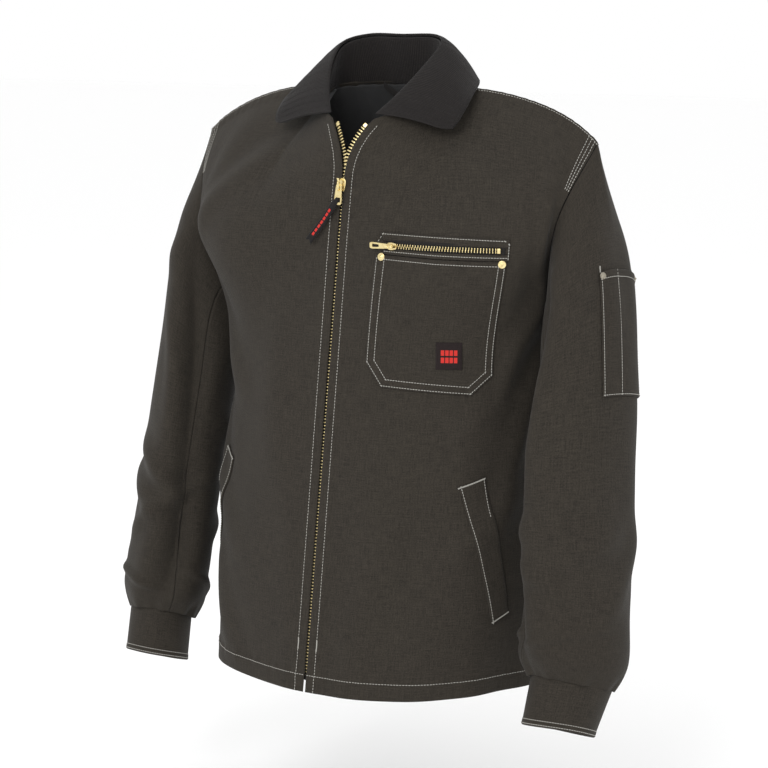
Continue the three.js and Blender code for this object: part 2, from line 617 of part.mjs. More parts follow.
// ---- hang loop --------------------------------------------------------------------------------------
// A flat tape bow at the centre back, inside the neck, sewn down at both ends.
const LOOP = { half: 30, drop: 14, wide: 7, thick: 1.2, y: 23.6, z: 60 };
const bow = new THREE.Shape();
bow.moveTo(-LOOP.half, LOOP.z);
bow.quadraticCurveTo(0, LOOP.z - 2 * LOOP.drop, LOOP.half, LOOP.z);
bow.lineTo(LOOP.half, LOOP.z - LOOP.wide);
bow.quadraticCurveTo(0, LOOP.z - LOOP.wide - 2 * LOOP.drop, -LOOP.half, LOOP.z - LOOP.wide);
const loop = new THREE.ExtrudeGeometry(bow, { depth: LOOP.thick, bevelEnabled: false, curveSegments: 10 });
loop.rotateX(Math.PI / 2);
loop.translate(0, LOOP.y, 0);
add("hang_loop", "tape", loop);

export default jacket;
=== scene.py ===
import json
import math

import bmesh
import bpy
import numpy as np
from mathutils import Matrix, Vector


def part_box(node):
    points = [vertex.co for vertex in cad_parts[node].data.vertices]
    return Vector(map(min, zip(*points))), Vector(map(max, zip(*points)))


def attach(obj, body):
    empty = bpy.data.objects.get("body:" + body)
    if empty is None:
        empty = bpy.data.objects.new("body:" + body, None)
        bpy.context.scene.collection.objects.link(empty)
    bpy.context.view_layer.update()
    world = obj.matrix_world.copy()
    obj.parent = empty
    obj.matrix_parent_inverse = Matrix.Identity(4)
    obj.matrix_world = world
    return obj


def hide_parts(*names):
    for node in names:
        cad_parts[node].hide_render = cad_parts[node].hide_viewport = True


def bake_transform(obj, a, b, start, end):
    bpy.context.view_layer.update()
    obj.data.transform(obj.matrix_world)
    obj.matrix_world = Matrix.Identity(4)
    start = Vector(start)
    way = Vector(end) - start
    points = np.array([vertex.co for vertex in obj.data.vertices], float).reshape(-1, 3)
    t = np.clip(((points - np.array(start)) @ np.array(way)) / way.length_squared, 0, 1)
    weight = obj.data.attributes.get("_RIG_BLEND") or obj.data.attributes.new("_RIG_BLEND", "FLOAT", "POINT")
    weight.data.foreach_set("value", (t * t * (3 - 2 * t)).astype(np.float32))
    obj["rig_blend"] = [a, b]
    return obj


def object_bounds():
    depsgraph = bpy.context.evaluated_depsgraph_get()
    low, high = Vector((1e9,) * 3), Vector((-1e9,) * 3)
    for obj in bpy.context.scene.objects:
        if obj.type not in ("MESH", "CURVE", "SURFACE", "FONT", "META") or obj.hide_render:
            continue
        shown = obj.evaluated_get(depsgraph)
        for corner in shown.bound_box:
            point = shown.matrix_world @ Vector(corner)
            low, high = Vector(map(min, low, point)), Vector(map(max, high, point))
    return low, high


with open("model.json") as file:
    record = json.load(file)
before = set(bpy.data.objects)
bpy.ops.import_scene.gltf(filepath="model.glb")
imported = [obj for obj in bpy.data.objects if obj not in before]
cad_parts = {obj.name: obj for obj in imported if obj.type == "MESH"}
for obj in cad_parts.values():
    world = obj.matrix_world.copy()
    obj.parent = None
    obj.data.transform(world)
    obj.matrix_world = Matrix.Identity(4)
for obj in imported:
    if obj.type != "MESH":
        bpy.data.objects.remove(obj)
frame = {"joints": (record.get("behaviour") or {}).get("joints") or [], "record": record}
cad_low, cad_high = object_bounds()
joints = {joint["name"]: joint for joint in frame["joints"]}


# ---- Front and back panels -----------------------------------------------------------------------
# Two fronts and one back of heavy cotton duck, felled together at the sides and shoulders and
# turned up at the hem. They lie on one surface: s runs from the centre line (0) to the side seam
# or armhole (1), and v from the hem (0) over the armpit (3) to the neck and shoulders (5).
DUCK_THICK = 2.0
ZIP_Y, ZIP_Z, ZIP_LEAN = -104.0, -47.0, 0.137
SLIT_HALF = 1.5
V_FOOT, V_TOP, V_HALF = -42.0, 21.0, 27.0
TIP = np.array([264.0, 2.0, 0.0])
ARMHOLE_SLOPE = 0.27
ARMHOLE_CENTRE = np.array([238.0, 3.5, -96.5])
NECK_SIDE = [78, -5, 57]
NECK_SHARE = 0.34
STATIONS = [  # centre front height, side point, centre back y and z, squareness of the girth
    (-614, [204, -12, -608], (148, -620), 2.2),
    (-480, [209, -6, -480], (140, -486), 2.25),
    (-350, [203, 0, -350], (134, -352), 2.25),
    (-215, [205, 4, -218], (128, -215), 2.3),
]
MID_Z, MID_FRONT, MID_BACK, MID_CENTRE_BACK = -95, -47, 54, 116
TOP_ROW, ARMPIT_ROW = 5, 3
HALF_GIRTH = 250.0  # from the centre line to the side seam
ROW_HEIGHT = 125.0
LOW_ROW_HEIGHT = 1.07 * ROW_HEIGHT  # between the hem and the waist
TOP_ROW_HEIGHT = 105.0
ARMHOLE_GIRTH = 215.0  # from the centre line to the armhole
HEM_DEEP = 19.0
HEM_Z = STATIONS[0][0]
SEAM_GAP = 0.0012


def smooth(t):
    t = np.clip(t, 0, 1)
    return t * t * (3 - 2 * t)


def point(x, y, z):
    return np.stack(np.broadcast_arrays(x, y, z), -1).astype(float)


def bezier(points, t):
    """The point at t on the Bezier curve of these control points."""
    points = [np.array(p, float) for p in points]
    t = t[..., None]
    while len(points) > 1:
        points = [a + (b - a) * t for a, b in zip(points, points[1:])]
    return points[0]


def through(rows, end_slope, v, given=None):
    """A smooth curve through the rows, one for each whole number of v."""
    last = len(rows) - 1
    slopes = [rows[1] - rows[0]]
    slopes += [(rows[k + 1] - rows[k - 1]) / 2 for k in range(1, last)] + [end_slope]
    for k, slope in (given or {}).items():
        slopes[k] = slope
    i = np.clip(np.floor(v).astype(int), 0, last - 1)
    t = (v - i)[..., None]

    def pick(table, k):
        return np.take_along_axis(np.stack(table), k[None, ..., None], 0)[0]

    h0, g0 = 2 * t**3 - 3 * t * t + 1, t**3 - 2 * t * t + t
    h1, g1 = -2 * t**3 + 3 * t * t, t**3 - t * t
    near = h0 * pick(rows, i) + g0 * pick(slopes, i)
    return near + h1 * pick(rows, i + 1) + g1 * pick(slopes, i + 1)


def quarter_girth(s, square):
    sine, cosine = np.sin(np.pi / 2 * s), np.cos(np.pi / 2 * s)
    k = (np.abs(sine) ** square + np.abs(cosine) ** square) ** (-1 / square)
    return sine * k, cosine * k


def zip_y(z):
    return ZIP_Y + ZIP_LEAN * (z - ZIP_Z)


def top_edge(s, back):
    neck_t, seam_t = np.clip(s / NECK_SHARE, 0, 1), (s - NECK_SHARE) / (1 - NECK_SHARE)
    front_neck = bezier([[0, -95, 14], [66, -76, 32], NECK_SIDE], neck_t)
    back_neck = bezier([[0, 27, 62], [58, 30, 62], NECK_SIDE], neck_t)
    seam = bezier([NECK_SIDE, [150, 4, 56], [222, 10, 38], TIP], seam_t)
    neck = np.where(back[..., None], back_neck, front_neck)
    return np.where((s >= NECK_SHARE)[..., None], seam, neck)


def top_slope(s, back):
    u = np.clip(s / NECK_SHARE, 0, 1)[..., None]
    w = np.clip((s - NECK_SHARE) / (1 - NECK_SHARE), 0, 1)[..., None]
    lines = []
    for neck, ridge, tip in (
        ([0, 16, 110], [-8, 100, 80], [14, 62, 80]),
        ([0, -85, 110], [-8, -110, 80], [14, -62, 80]),
    ):
        neck, ridge, tip = map(np.array, (neck, ridge, tip))
        near_neck, near_tip = neck + (ridge - neck) * u, ridge + (tip - ridge) * w
        lines.append(np.where(w > 0, near_tip, near_neck))
    return np.where(back[..., None], lines[1], lines[0])


def girth(row, s, back):
    """The row's outline on the front or the back."""
    if row == TOP_ROW:
        return top_edge(s, back)
    if row > ARMPIT_ROW:
        x, y = quarter_girth(s, 2.6)
        wide = (TIP[0] + ARMHOLE_SLOPE * MID_Z) * x
        front = point(wide, MID_FRONT + (zip_y(MID_Z) - MID_FRONT) * y, MID_Z)
        rear = point(wide, MID_BACK + (MID_CENTRE_BACK - MID_BACK) * y, MID_Z - 3 + 15 * y * y)
        return np.where(back[..., None], rear, front)
    zf, side, rear, square = STATIONS[row]
    x, y = quarter_girth(s, square)
    end_y, end_z = np.where(back, rear[0], zip_y(zf)), np.where(back, rear[1], zf)
    return point(side[0] * x, side[1] + (end_y - side[1]) * y, side[2] + (end_z - side[2]) * y * y)


def body(s, v, back):
    """Points of the body surface. Past a seam it goes on over it, onto the other side."""
    s, v, back = (a.copy() for a in np.broadcast_arrays(s, v, back))
    s, v = s.astype(float), v.astype(float)
    turned = v > TOP_ROW
    v = np.where(turned, 2 * TOP_ROW - v, v)
    back = back ^ turned
    mirror = np.where(s < 0, -1.0, 1.0)
    s = np.abs(s)
    passed = (s > 1) & (v < ARMPIT_ROW)
    s = np.where(passed, 2 - s, s)
    back = back ^ passed
    rows = [girth(row, s, back) for row in range(TOP_ROW + 1)]
    own = (rows[ARMPIT_ROW + 1] - rows[ARMPIT_ROW - 1]) / 2
    shared = (ARMHOLE_CENTRE - rows[ARMPIT_ROW - 1]) / 2
    armpit = own + (shared - own) * (s**4)[..., None]
    made = through(rows, top_slope(s, back), v, {ARMPIT_ROW: armpit})
    made[..., 0] *= mirror
    return made


def normals(surface, s, v, ds=1e-3, dv=1e-3):
    """Unit normals of a surface; right at a seam both edges take the same one."""
    s = np.where(np.abs(s - np.round(s)) < 4 * ds, np.round(s), s)
    v = np.where(np.abs(v - np.round(v)) < 4 * dv, np.round(v), v)
    across = surface(s + ds, v) - surface(s - ds, v)
    up = surface(s, v + dv) - surface(s, v - dv)
    n = np.cross(across, up)
    return n / np.maximum(np.linalg.norm(n, axis=-1, keepdims=True), 1e-12)


def ridge(u, z, u0, z0, u1, z1, width, height):
    """A soft fold from one point to another, in girth and height."""
    run, rise = u1 - u0, z1 - z0
    long = math.hypot(run, rise)
    du = (u - u0 + 2 * HALF_GIRTH) % (4 * HALF_GIRTH) - 2 * HALF_GIRTH
    t = (du * run + (z - z0) * rise) / long**2
    off = (du * rise - (z - z0) * run) / long
    off = off + 0.12 * long * (t - 0.5) ** 2
    d = off / width
    fade = smooth((t + 0.25) / 0.45) * smooth((1.25 - t) / 0.55)
    return height * fade * (1 - d * d) * np.exp(-d * d)


# Folds as they hang: from the armpits towards the waist, from the collar, and over the hips.
BODY_FOLDS = [
    (236, -150, 128, -318, 24, 6.8), (244, -205, 170, -420, 20, 4.9), (205, -28, 216, -150, 20, 4.3),
    (95, -8, 176, -112, 22, 3.5), (238, -360, 120, -455, 26, 3.8), (60, -430, 40, -585, 24, 3.2),
    (-236, -140, -120, -300, 26, 7.3), (-246, -215, -165, -400, 22, 5.7), (-92, -10, -180, -120, 24, 4.1),
    (-235, -330, -110, -470, 24, 4.6), (-150, -470, -96, -600, 20, 4.6), (-70, -210, -48, -420, 26, 2.7),
    (262, -190, 352, -330, 22, 6.8), (258, -120, 372, -214, 22, 5.4), (300, -420, 420, -520, 26, 4.1),
    (-262, -190, -350, -342, 24, 6.8), (-258, -110, -380, -224, 22, 5.7), (-310, -400, -424, -540, 26, 4.3),
    (440, -60, 452, -330, 30, 3.5), (-452, -90, -436, -360, 28, 3.8), (498, -300, 505, -560, 34, 3.2),
]
wave_rng = np.random.default_rng(11)
BODY_WAVES = [  # waves round the girth, wave length up the body, size, phase
    (n, wave_rng.uniform(200, 520) * wave_rng.choice([-1, 1]), size, wave_rng.uniform(0, 6.28))
    for n, size in [(3, 0.9), (4, 0.8), (5, 0.8), (6, 0.6), (8, 0.5), (11, 0.35), (14, 0.3), (19, 0.22)]
]
HEM_WAVES = [  # waves round the girth, size, phase
    (n, size, wave_rng.uniform(0, 6.28)) for n, size in [(5, 1.6), (8, 1.5), (11, 1.1), (17, 0.6)]
]


def pucker(c, d, size=0.35, reach=7.0):
    """The small pulls that topstitching leaves, at c along a seam and d from it."""
    wave = np.sin(2 * np.pi * c / 14.0 + 1.7 * np.sin(c / 37.0)) + 0.6 * np.sin(2 * np.pi * c / 9.1 + 2)
    return size * wave * np.exp(-((d / reach) ** 2))


def body_relief(s, v, back, side, z):
    """How far the cloth stands off the plain body surface: folds, waves, hem, seams and puckers."""
    side = np.where(s < 0, -side, side) if np.ndim(s) else side
    s = np.abs(s)
    passed = (s > 1) & (v < ARMPIT_ROW)
    rear = np.asarray(back) ^ passed ^ (v > TOP_ROW)
    s = np.where(passed, 2 - s, np.minimum(s, 1))
    up = np.where(v > TOP_ROW, 2 * TOP_ROW - v, v)
    u = side * np.where(rear, 2 - s, s) * HALF_GIRTH
    lift = sum(ridge(u, z, *fold) for fold in BODY_FOLDS)
    turn = np.pi * u / (2 * HALF_GIRTH)
    lift = lift + sum(a * np.sin(n * turn + 2 * np.pi * z / w + p) for n, w, a, p in BODY_WAVES)
    near_hem = np.exp((HEM_Z - z) / 95)
    lift = lift + near_hem * sum(a * np.sin(n * turn + p) for n, a, p in HEM_WAVES)
    free = 1 - smooth((up - 2.55) / 0.45) * (1 - smooth((1 - s) / 0.14))
    free = free * (1 - smooth((up - 4.55) / 0.4) * 0.9)
    centre = np.where(rear, 1.0, 0.12 + 0.88 * smooth((s * HALF_GIRTH - 6) / 34))
    on_chest = smooth((s - 0.08) / 0.08) * smooth((0.74 - s) / 0.1)
    on_chest = on_chest * smooth((up - 2.3) / 0.25) * smooth((4.2 - up) / 0.2)
    calm = np.where(rear | (side < 0), 1.0, 1 - 0.88 * on_chest)
    lift = lift * free * centre * calm
    edge = np.where(rear, 1e3, (s - front_edge(up)) * HALF_GIRTH)
    to_side = (1 - s) * HALF_GIRTH
    to_hem = up * LOW_ROW_HEIGHT
    to_top = (TOP_ROW - up) * TOP_ROW_HEIGHT
    sewn = 0.75 * (1 - smooth((to_hem - HEM_DEEP - 0.5) / 2.5)) + 0.5 * (1 - smooth((edge - 12) / 2.5))
    sewn = sewn + np.where(rear, 0.8, 0.0) * (1 - smooth((to_side - 11) / 2.5))
    on_shoulder = smooth((s - NECK_SHARE) / 0.03)
    sewn = sewn + np.where(rear, 0.0, 0.7) * on_shoulder * (1 - smooth((to_top - 10) / 2.5))
    pulls = pucker(u, to_hem - HEM_DEEP) + pucker(z, edge - 12, 0.22)
    pulls = pulls + pucker(z * 1.1, to_side - 5, 0.3) * free
    pulls = pulls + pucker(u * 1.2, to_top - 6, 0.25) * on_shoulder
    return lift + sewn * (1 - smooth((s - 0.995) / 0.005) * 0.6) + pulls


def front_gap(z):
    t = np.clip((z - V_FOOT) / (V_TOP - V_FOOT), 0, 1.2)
    return SLIT_HALF + (V_HALF - SLIT_HALF) * t * t


def beside_zip(off, v):
    """The s at which the front stands a distance off its front edge."""
    v = np.asarray(v, float)
    s = np.full(v.shape, 0.02)
    for _ in range(14):
        p = body(s, v, False)
        s = s * np.clip((front_gap(p[..., 2]) + off) / np.maximum(p[..., 0], 1e-6), 0.2, 5)
    return s


EDGE_V = np.linspace(0, TOP_ROW, 120)
EDGE_S = beside_zip(0, EDGE_V)


def front_edge(v):
    return np.interp(v, EDGE_V, EDGE_S)


def coat(side, back=False):
    """The folded surface of one half of the body, as a function of s and v."""

    def plain(s, v):
        return body(s, v, back)

    def surface(s, v):
        p = plain(s, v)
        n = normals(plain, s, v) * (-1 if back else 1)
        p = p + n * body_relief(s, v, back, side, p[..., 2])[..., None]
        return p * np.array([side, 1, 1])

    return surface


def crowded(count, edge):
    """Fractions from 0 to 1 with a close pair at both ends, for a rounded edge."""
    middle = np.linspace(0, 1, count + 1)[1:-1]
    middle = middle[(middle > 2 * edge) & (middle < 1 - 2 * edge)]
    return np.concatenate([[0, edge], middle, [1 - edge, 1]])


def shown(name, data):
    """An object in the scene that carries this mesh, curve, lamp or camera."""
    made = bpy.data.objects.new(name, data)
    bpy.context.scene.collection.objects.link(made)
    return made


def cloth_mesh(name, points, faces, uv, material, sharp=60):
    """An object whose mesh is in metres and in place, smooth but for edges past the sharp angle."""
    mesh = bpy.data.meshes.new(name)
    faces = [list(map(int, face)) for face in faces]
    mesh.from_pydata((np.asarray(points) * 0.001).tolist(), [], faces)
    if uv is not None:
        corner = np.zeros(len(mesh.loops), int)
        mesh.loops.foreach_get("vertex_index", corner)
        layer = mesh.uv_layers.new(name="cut")
        layer.data.foreach_set("uv", np.asarray(uv, np.float32)[corner].ravel())
    mesh.materials.append(material)
    mesh.shade_smooth()
    mesh.set_sharp_from_angle(angle=math.radians(sharp))
    return shown(name, mesh)


def line_long(line):
    return np.linalg.norm(np.diff(line, axis=0), axis=1).sum()


def sheet(name, surface, span, ends, material, step=3.0, lift=0.0, thick=DUCK_THICK, out=1,
          wraps=False, steps=(1e-3, 1e-3), relief=None, nudge=None):
    """A closed sheet of cloth. span(v) gives its two side edges, ends its first and last row, lift
    the place of its outer face over the surface, relief(a, b) more lift, and nudge moves points."""
    middle_v, tall_v = np.full(9, sum(ends) / 2), np.linspace(ends[0], ends[1], 9)
    low, high = span(middle_v)
    width = line_long(surface(low + (high - low) * np.linspace(0, 1, 9), middle_v))
    low, high = span(tall_v)
    height = line_long(surface((low + high) / 2, tall_v))
    round_edge = min(0.9, thick * 0.5)
    across, upward = (step, step) if np.isscalar(step) else step
    a = crowded(max(2, round(width / across)), round_edge / width)
    if wraps:
        a = np.linspace(0, 1, round(width / across) + 1)[:-1]
    b = crowded(max(2, round(height / upward)), round_edge / height)
    v = ends[0] + (ends[1] - ends[0]) * b
    low, high = span(v)
    s = low[:, None] + (high - low)[:, None] * a[None, :]
    v = np.repeat(v[:, None], len(a), 1)
    p = surface(s, v)
    n = normals(surface, s, v, *steps) * out
    grid_a, grid_b = np.meshgrid(a, b)
    high_face = np.full(s.shape, float(lift)) if not callable(lift) else lift(s, v)
    if relief is not None:
        high_face = high_face + relief(grid_a * width, grid_b * height)
    low_face = high_face - thick
    border = np.zeros(s.shape, bool)
    border[[0, -1], :] = True
    if not wraps:
        border[:, [0, -1]] = True
    high_face = np.where(border, high_face - 0.38 * thick, high_face)
    low_face = np.where(border, low_face + 0.3 * thick, low_face)
    outer, inner = p + n * high_face[..., None], p + n * low_face[..., None]
    if nudge is not None:
        outer, inner = nudge(outer, s, v), nudge(inner, s, v)
    nr, nc = s.shape
    count = nc if wraps else nc - 1
    j, i = np.meshgrid(np.arange(nr - 1), np.arange(count), indexing="ij")
    k = (i + 1) % nc
    front = np.stack([j * nc + i, j * nc + k, (j + 1) * nc + k, (j + 1) * nc + i], -1).reshape(-1, 4)
    under = front[:, ::-1] + nr * nc
    i = np.arange(count)
    k = (i + 1) % nc
    top = (nr - 1) * nc
    back = nr * nc
    rims = [np.stack([i, back + i, back + k, k], -1),
            np.stack([top + i, top + k, back + top + k, back + top + i], -1)]
    if not wraps:
        j = np.arange(nr - 1) * nc
        rims.append(np.stack([j, j + nc, back + j + nc, back + j], -1))
        j = j + nc - 1
        rims.append(np.stack([j, back + j, back + j + nc, j + nc], -1))
    faces = np.concatenate([front, under, *rims])
    if out < 0:
        faces = faces[:, ::-1]
    points = np.concatenate([outer.reshape(-1, 3), inner.reshape(-1, 3)])
    uv = np.stack([grid_a * width, grid_b * height], -1).reshape(-1, 2) * 0.001
    made = cloth_mesh(name, points, faces, np.concatenate([uv, uv]), material)
    made["flat"] = [width * 0.001, height * 0.001]
    return made


def new_group(name, inputs, outputs):
    """A shader node group with these inputs (name, socket kind, value) and outputs (name, kind)."""
    group = bpy.data.node_groups.new(name, "ShaderNodeTree")
    for label, kind, value in inputs:
        socket = group.interface.new_socket(label, in_out="INPUT", socket_type=kind)
        if value is not None:
            socket.default_value = value
    for label, kind in outputs:
        group.interface.new_socket(label, in_out="OUTPUT", socket_type=kind)
    return group


def node(tree, kind, links=None, **settings):
    """Adds a node. Settings are its properties; links are input sockets' values or sources."""
    made = tree.nodes.new(kind)
    for key, value in settings.items():
        setattr(made, key, value)
    for key, value in (links or {}).items():
        if isinstance(value, bpy.types.NodeSocket):
            tree.links.new(value, made.inputs[key])
        else:
            made.inputs[key].default_value = value
    return made


def stretched_noise(tree, vector, scale, detail=2.0):
    """Noise whose grain is drawn out: scale is waves per metre in u, v and w."""
    spread = node(tree, "ShaderNodeVectorMath", {0: vector, 1: scale}, operation="MULTIPLY")
    return node(tree, "ShaderNodeTexNoise", {"Vector": spread.outputs[0], "Scale": 1.0,
                "Detail": detail, "Roughness": 0.6}).outputs["Fac"]


def maths(tree, operation, a, b=0.0):
    return node(tree, "ShaderNodeMath", {0: a, 1: b}, operation=operation).outputs[0]


def times(tree, a, b):
    return maths(tree, "MULTIPLY", a, b)


def plus(tree, a, b):
    return maths(tree, "ADD", a, b)


def wave_of(tree, value, rate):
    """The sine of a value at this rate."""
    return node(tree, "ShaderNodeMath", {0: times(tree, value, rate)}, operation="SINE").outputs[0]


# Mix nodes name their colour sockets alike for every kind, so they are found by type.
def colour_mix(tree, factor, a, b):
    made = node(tree, "ShaderNodeMix", {0: factor}, data_type="RGBA")
    for socket, value in ((made.inputs[6], a), (made.inputs[7], b)):
        if isinstance(value, bpy.types.NodeSocket):
            tree.links.new(value, socket)
        else:
            socket.default_value = value
    return made.outputs[2]


def new_material(name):
    """A material with its node tree and its surface shader."""
    material = bpy.data.materials.new(name)
    material.use_nodes = True
    tree = material.node_tree
    return material, tree, tree.nodes["Principled BSDF"]


FLOAT, COLOUR, VECTOR = "NodeSocketFloat", "NodeSocketColor", "NodeSocketVector"

# Plain weave: warp and weft threads that pass over and under, uneven in weight and shade.
weave = new_group("plain_weave", [
    ("Vector", VECTOR, None), ("Threads per metre", FLOAT, 1500.0), ("Dark", COLOUR, (0, 0, 0, 1)),
    ("Light", COLOUR, (1, 1, 1, 1)), ("Heather", FLOAT, 0.5), ("Fading", FLOAT, 0.25)],
    [("Color", COLOUR), ("Height", FLOAT), ("Roughness", FLOAT)])
enter, leave = node(weave, "NodeGroupInput"), node(weave, "NodeGroupOutput")
uv_in = enter.outputs["Vector"]
warp_slub = stretched_noise(weave, uv_in, (900, 60, 60))
weft_slub = stretched_noise(weave, uv_in, (60, 900, 60))
speck = stretched_noise(weave, uv_in, (700, 700, 700), 1.0)
cloud = stretched_noise(weave, uv_in, (26, 18, 20), 4.0)
parted = node(weave, "ShaderNodeSeparateXYZ", {0: uv_in})
thread_x = times(weave, parted.outputs[0], enter.outputs["Threads per metre"])
thread_y = times(weave, parted.outputs[1], enter.outputs["Threads per metre"])
over_under = times(weave, wave_of(weave, thread_x, math.pi), wave_of(weave, thread_y, math.pi))
slubs = plus(weave, warp_slub, weft_slub)
shade = plus(weave, times(weave, slubs, 0.5), times(weave, speck, 0.6))
shade = maths(weave, "SUBTRACT", shade, 0.8)
shade = times(weave, shade, times(weave, enter.outputs["Heather"], 5.0))
faded = times(weave, maths(weave, "SUBTRACT", cloud, 0.5), enter.outputs["Fading"])
shade = plus(weave, plus(weave, shade, faded), times(weave, over_under, 0.1))
level = node(weave, "ShaderNodeClamp", {"Value": plus(weave, shade, 0.5)}).outputs[0]
threads_mixed = colour_mix(weave, level, enter.outputs["Dark"], enter.outputs["Light"])
weave.links.new(threads_mixed, leave.inputs["Color"])
raised_threads = plus(weave, times(weave, over_under, 0.5), times(weave, slubs, 0.8))
weave.links.new(raised_threads, leave.inputs["Height"])
weave.links.new(plus(weave, times(weave, level, 0.1), 0.82), leave.inputs["Roughness"])


def woven(name, dark, light, threads=1500.0, heather=0.5, fading=0.25, bump=0.35, sheen=0.045):
    """A woven cloth material whose threads follow the piece's own cut."""
    material, tree, shader = new_material(name)
    cut = node(tree, "ShaderNodeUVMap", uv_map="cut")
    cloth = node(tree, "ShaderNodeGroup", {}, node_tree=weave)
    tree.links.new(cut.outputs[0], cloth.inputs["Vector"])
    for label, value in (("Threads per metre", threads), ("Dark", (*dark, 1)), ("Light", (*light, 1)),
                         ("Heather", heather), ("Fading", fading)):
        cloth.inputs[label].default_value = value
    raised = node(tree, "ShaderNodeBump", {"Strength": bump, "Distance": 0.0004,
                  "Height": cloth.outputs["Height"]})
    tree.links.new(cloth.outputs["Color"], shader.inputs["Base Color"])
    tree.links.new(cloth.outputs["Roughness"], shader.inputs["Roughness"])
    tree.links.new(raised.outputs[0], shader.inputs["Normal"])
    shader.inputs["Specular IOR Level"].default_value = 0.22
    shader.inputs["Sheen Weight"].default_value = sheen
    shader.inputs["Sheen Roughness"].default_value = 0.5
    return material


DUCK_DARK, DUCK_LIGHT = (0.0122, 0.0098, 0.0070), (0.0372, 0.0312, 0.0238)
duck = woven("duck_canvas", DUCK_DARK, DUCK_LIGHT)
SIDES = (("left", 1), ("right", -1))
PANEL_ROWS = (0, TOP_ROW - 0.002)  # from the hem to just under the shoulder seam


def stands_for(piece, body_name, slot, *nodes):
    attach(piece, body_name)
    if nodes:
        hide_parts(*nodes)


def cut_cloth(piece):
    """Removes the size of the rectangle of cloth that sheet stored on the panel."""
    del piece["flat"]


def on_jacket(piece, slot, node_name):
    """Parents a panel to the jacket, hides the CAD part it stands for, and removes its stored cut size."""
    stands_for(piece, "jacket", slot, node_name)
    cut_cloth(piece)


def full_span(low, high):
    return lambda v: (np.full(v.shape, float(low)), np.full(v.shape, float(high)))


def to_side_seam(near_edge):
    """The span from a front's own edge to its side seam or armhole."""
    return lambda v: (near_edge(v), np.full(v.shape, 1 - SEAM_GAP))


for name, side in SIDES:
    panel = sheet(f"front_{name}", coat(side), to_side_seam(front_edge), PANEL_ROWS, duck, out=side)
    on_jacket(panel, "duck", f"front_panel_{name}")

back_span = full_span(-1 + SEAM_GAP, 1 - SEAM_GAP)
panel = sheet("back", coat(1, True), back_span, PANEL_ROWS, duck, out=-1)
on_jacket(panel, "duck", "back_panel")


# ---- Linings, facings and pocket bags ------------------------------------------------------------
# Black quilted satin hangs a finger's breadth inside the duck and is gathered into the neck seam.
# A strip of duck faces each front edge, and flat lining bags hang behind the hand pockets.
LINING_DEPTH, LINING_THICK = 8.5, 1.4
LINING_ROWS = (0.2, 4.97)
LINING_FROM_ZIP = 19.0
QUILT = 55.0


def satin(name, dark, light):
    """Smooth filament cloth: low roughness, fine threads and a soft sheen."""
    made = woven(name, dark, light, threads=4000.0, heather=0.15, fading=0.2, bump=0.15, sheen=0.15)
    made.node_tree.nodes["Principled BSDF"].inputs["Specular IOR Level"].default_value = 0.5
    return made


lining_satin = satin("lining_satin", (0.011, 0.011, 0.0115), (0.030, 0.030, 0.031))


def quilted(u, w):
    """Diamond quilting: the cloth is pulled down along two sets of slanted lines."""
    one, other = (u + w) / QUILT, (u - w) / QUILT
    lines = np.minimum(np.abs(one - np.round(one)), np.abs(other - np.round(other)))
    return -1.6 * np.exp(-((lines * QUILT / 5.0) ** 2))


def lining_lift(s, v):
    """The lining comes up to the duck at the neck seam, in small gathers."""
    near = smooth((v - 4.5) / 0.48)
    gathers = 1.1 * np.sin(s * 88 + 2.1 * np.sin(s * 23)) * smooth((v - 4.1) / 0.5)
    return -LINING_DEPTH + near * (LINING_DEPTH - DUCK_THICK - 0.6) + gathers * (1 - near * 0.6)


def body_lining(name, surface, span, out, node_name):
    lining = sheet(name, surface, span, LINING_ROWS, lining_satin, step=5.0, lift=lining_lift,
                   thick=LINING_THICK, out=out, relief=quilted)
    on_jacket(lining, "lining", node_name)


def lining_edge(v):
    return beside_zip(LINING_FROM_ZIP, v)


def facing_span(v):
    return beside_zip(5, v), beside_zip(16, v)


for name, side in SIDES:
    body_lining(f"lining_front_{name}", coat(side), to_side_seam(lining_edge), side, f"front_lining_{name}")
    facing = sheet(f"facing_{name}", coat(side), facing_span, (0.05, 4.4), duck, step=(3, 8), lift=-5.6,
                   thick=1.2, out=side)
    on_jacket(facing, "duck", f"front_facing_{name}")
    bag = sheet(f"hand_pocket_bag_{name}", coat(side), full_span(0.3, 0.8), (0.4, 2.0), lining_satin,
                step=8.0, lift=-3.4, thick=2.2, out=side)
    on_jacket(bag, "lining", f"pocket_bag_{name}")

body_lining("lining_back", coat(1, True), back_span, -1, "back_lining")


# ---- Sleeves -------------------------------------------------------------------------------------
# Two-piece duck sleeves with a satin lining, sewn round the armhole and gathered into the cuff.
# turn is 0 on the outside, 90 in front and 180 against the body; w runs from the armhole (0) to
# the cuff (6). A lifted arm bends them below the armpit, so they blend from the jacket.
RINGS = [  # centre, long and short half axes, turn, tilt across and forward
    [254, -8, -170, 63, 39, 84, 1.35, -0.17],
    [264, -28, -272, 62, 46, 64, 0.45, -0.17],
    [272, -52, -390, 66, 48, 50, 0.1, -0.17],
    [279, -66, -490, 65, 49, 44, 0, -0.17],
    [283, -75, -552, 63, 49, 42, 0, -0.25],
    [285, -81, -583, 47, 38, 40, 0, -0.35],
]
FRONT_SEAM, BACK_SEAM = 140.0, -65.0
ARMHOLE_CLEAR = 0.012
LIFT_FROM = (0.222, 0.003, -0.205)  # where a lifted sleeve starts to bend, below the armpit
LIFT_TO = (0.354, -0.032, -0.437)
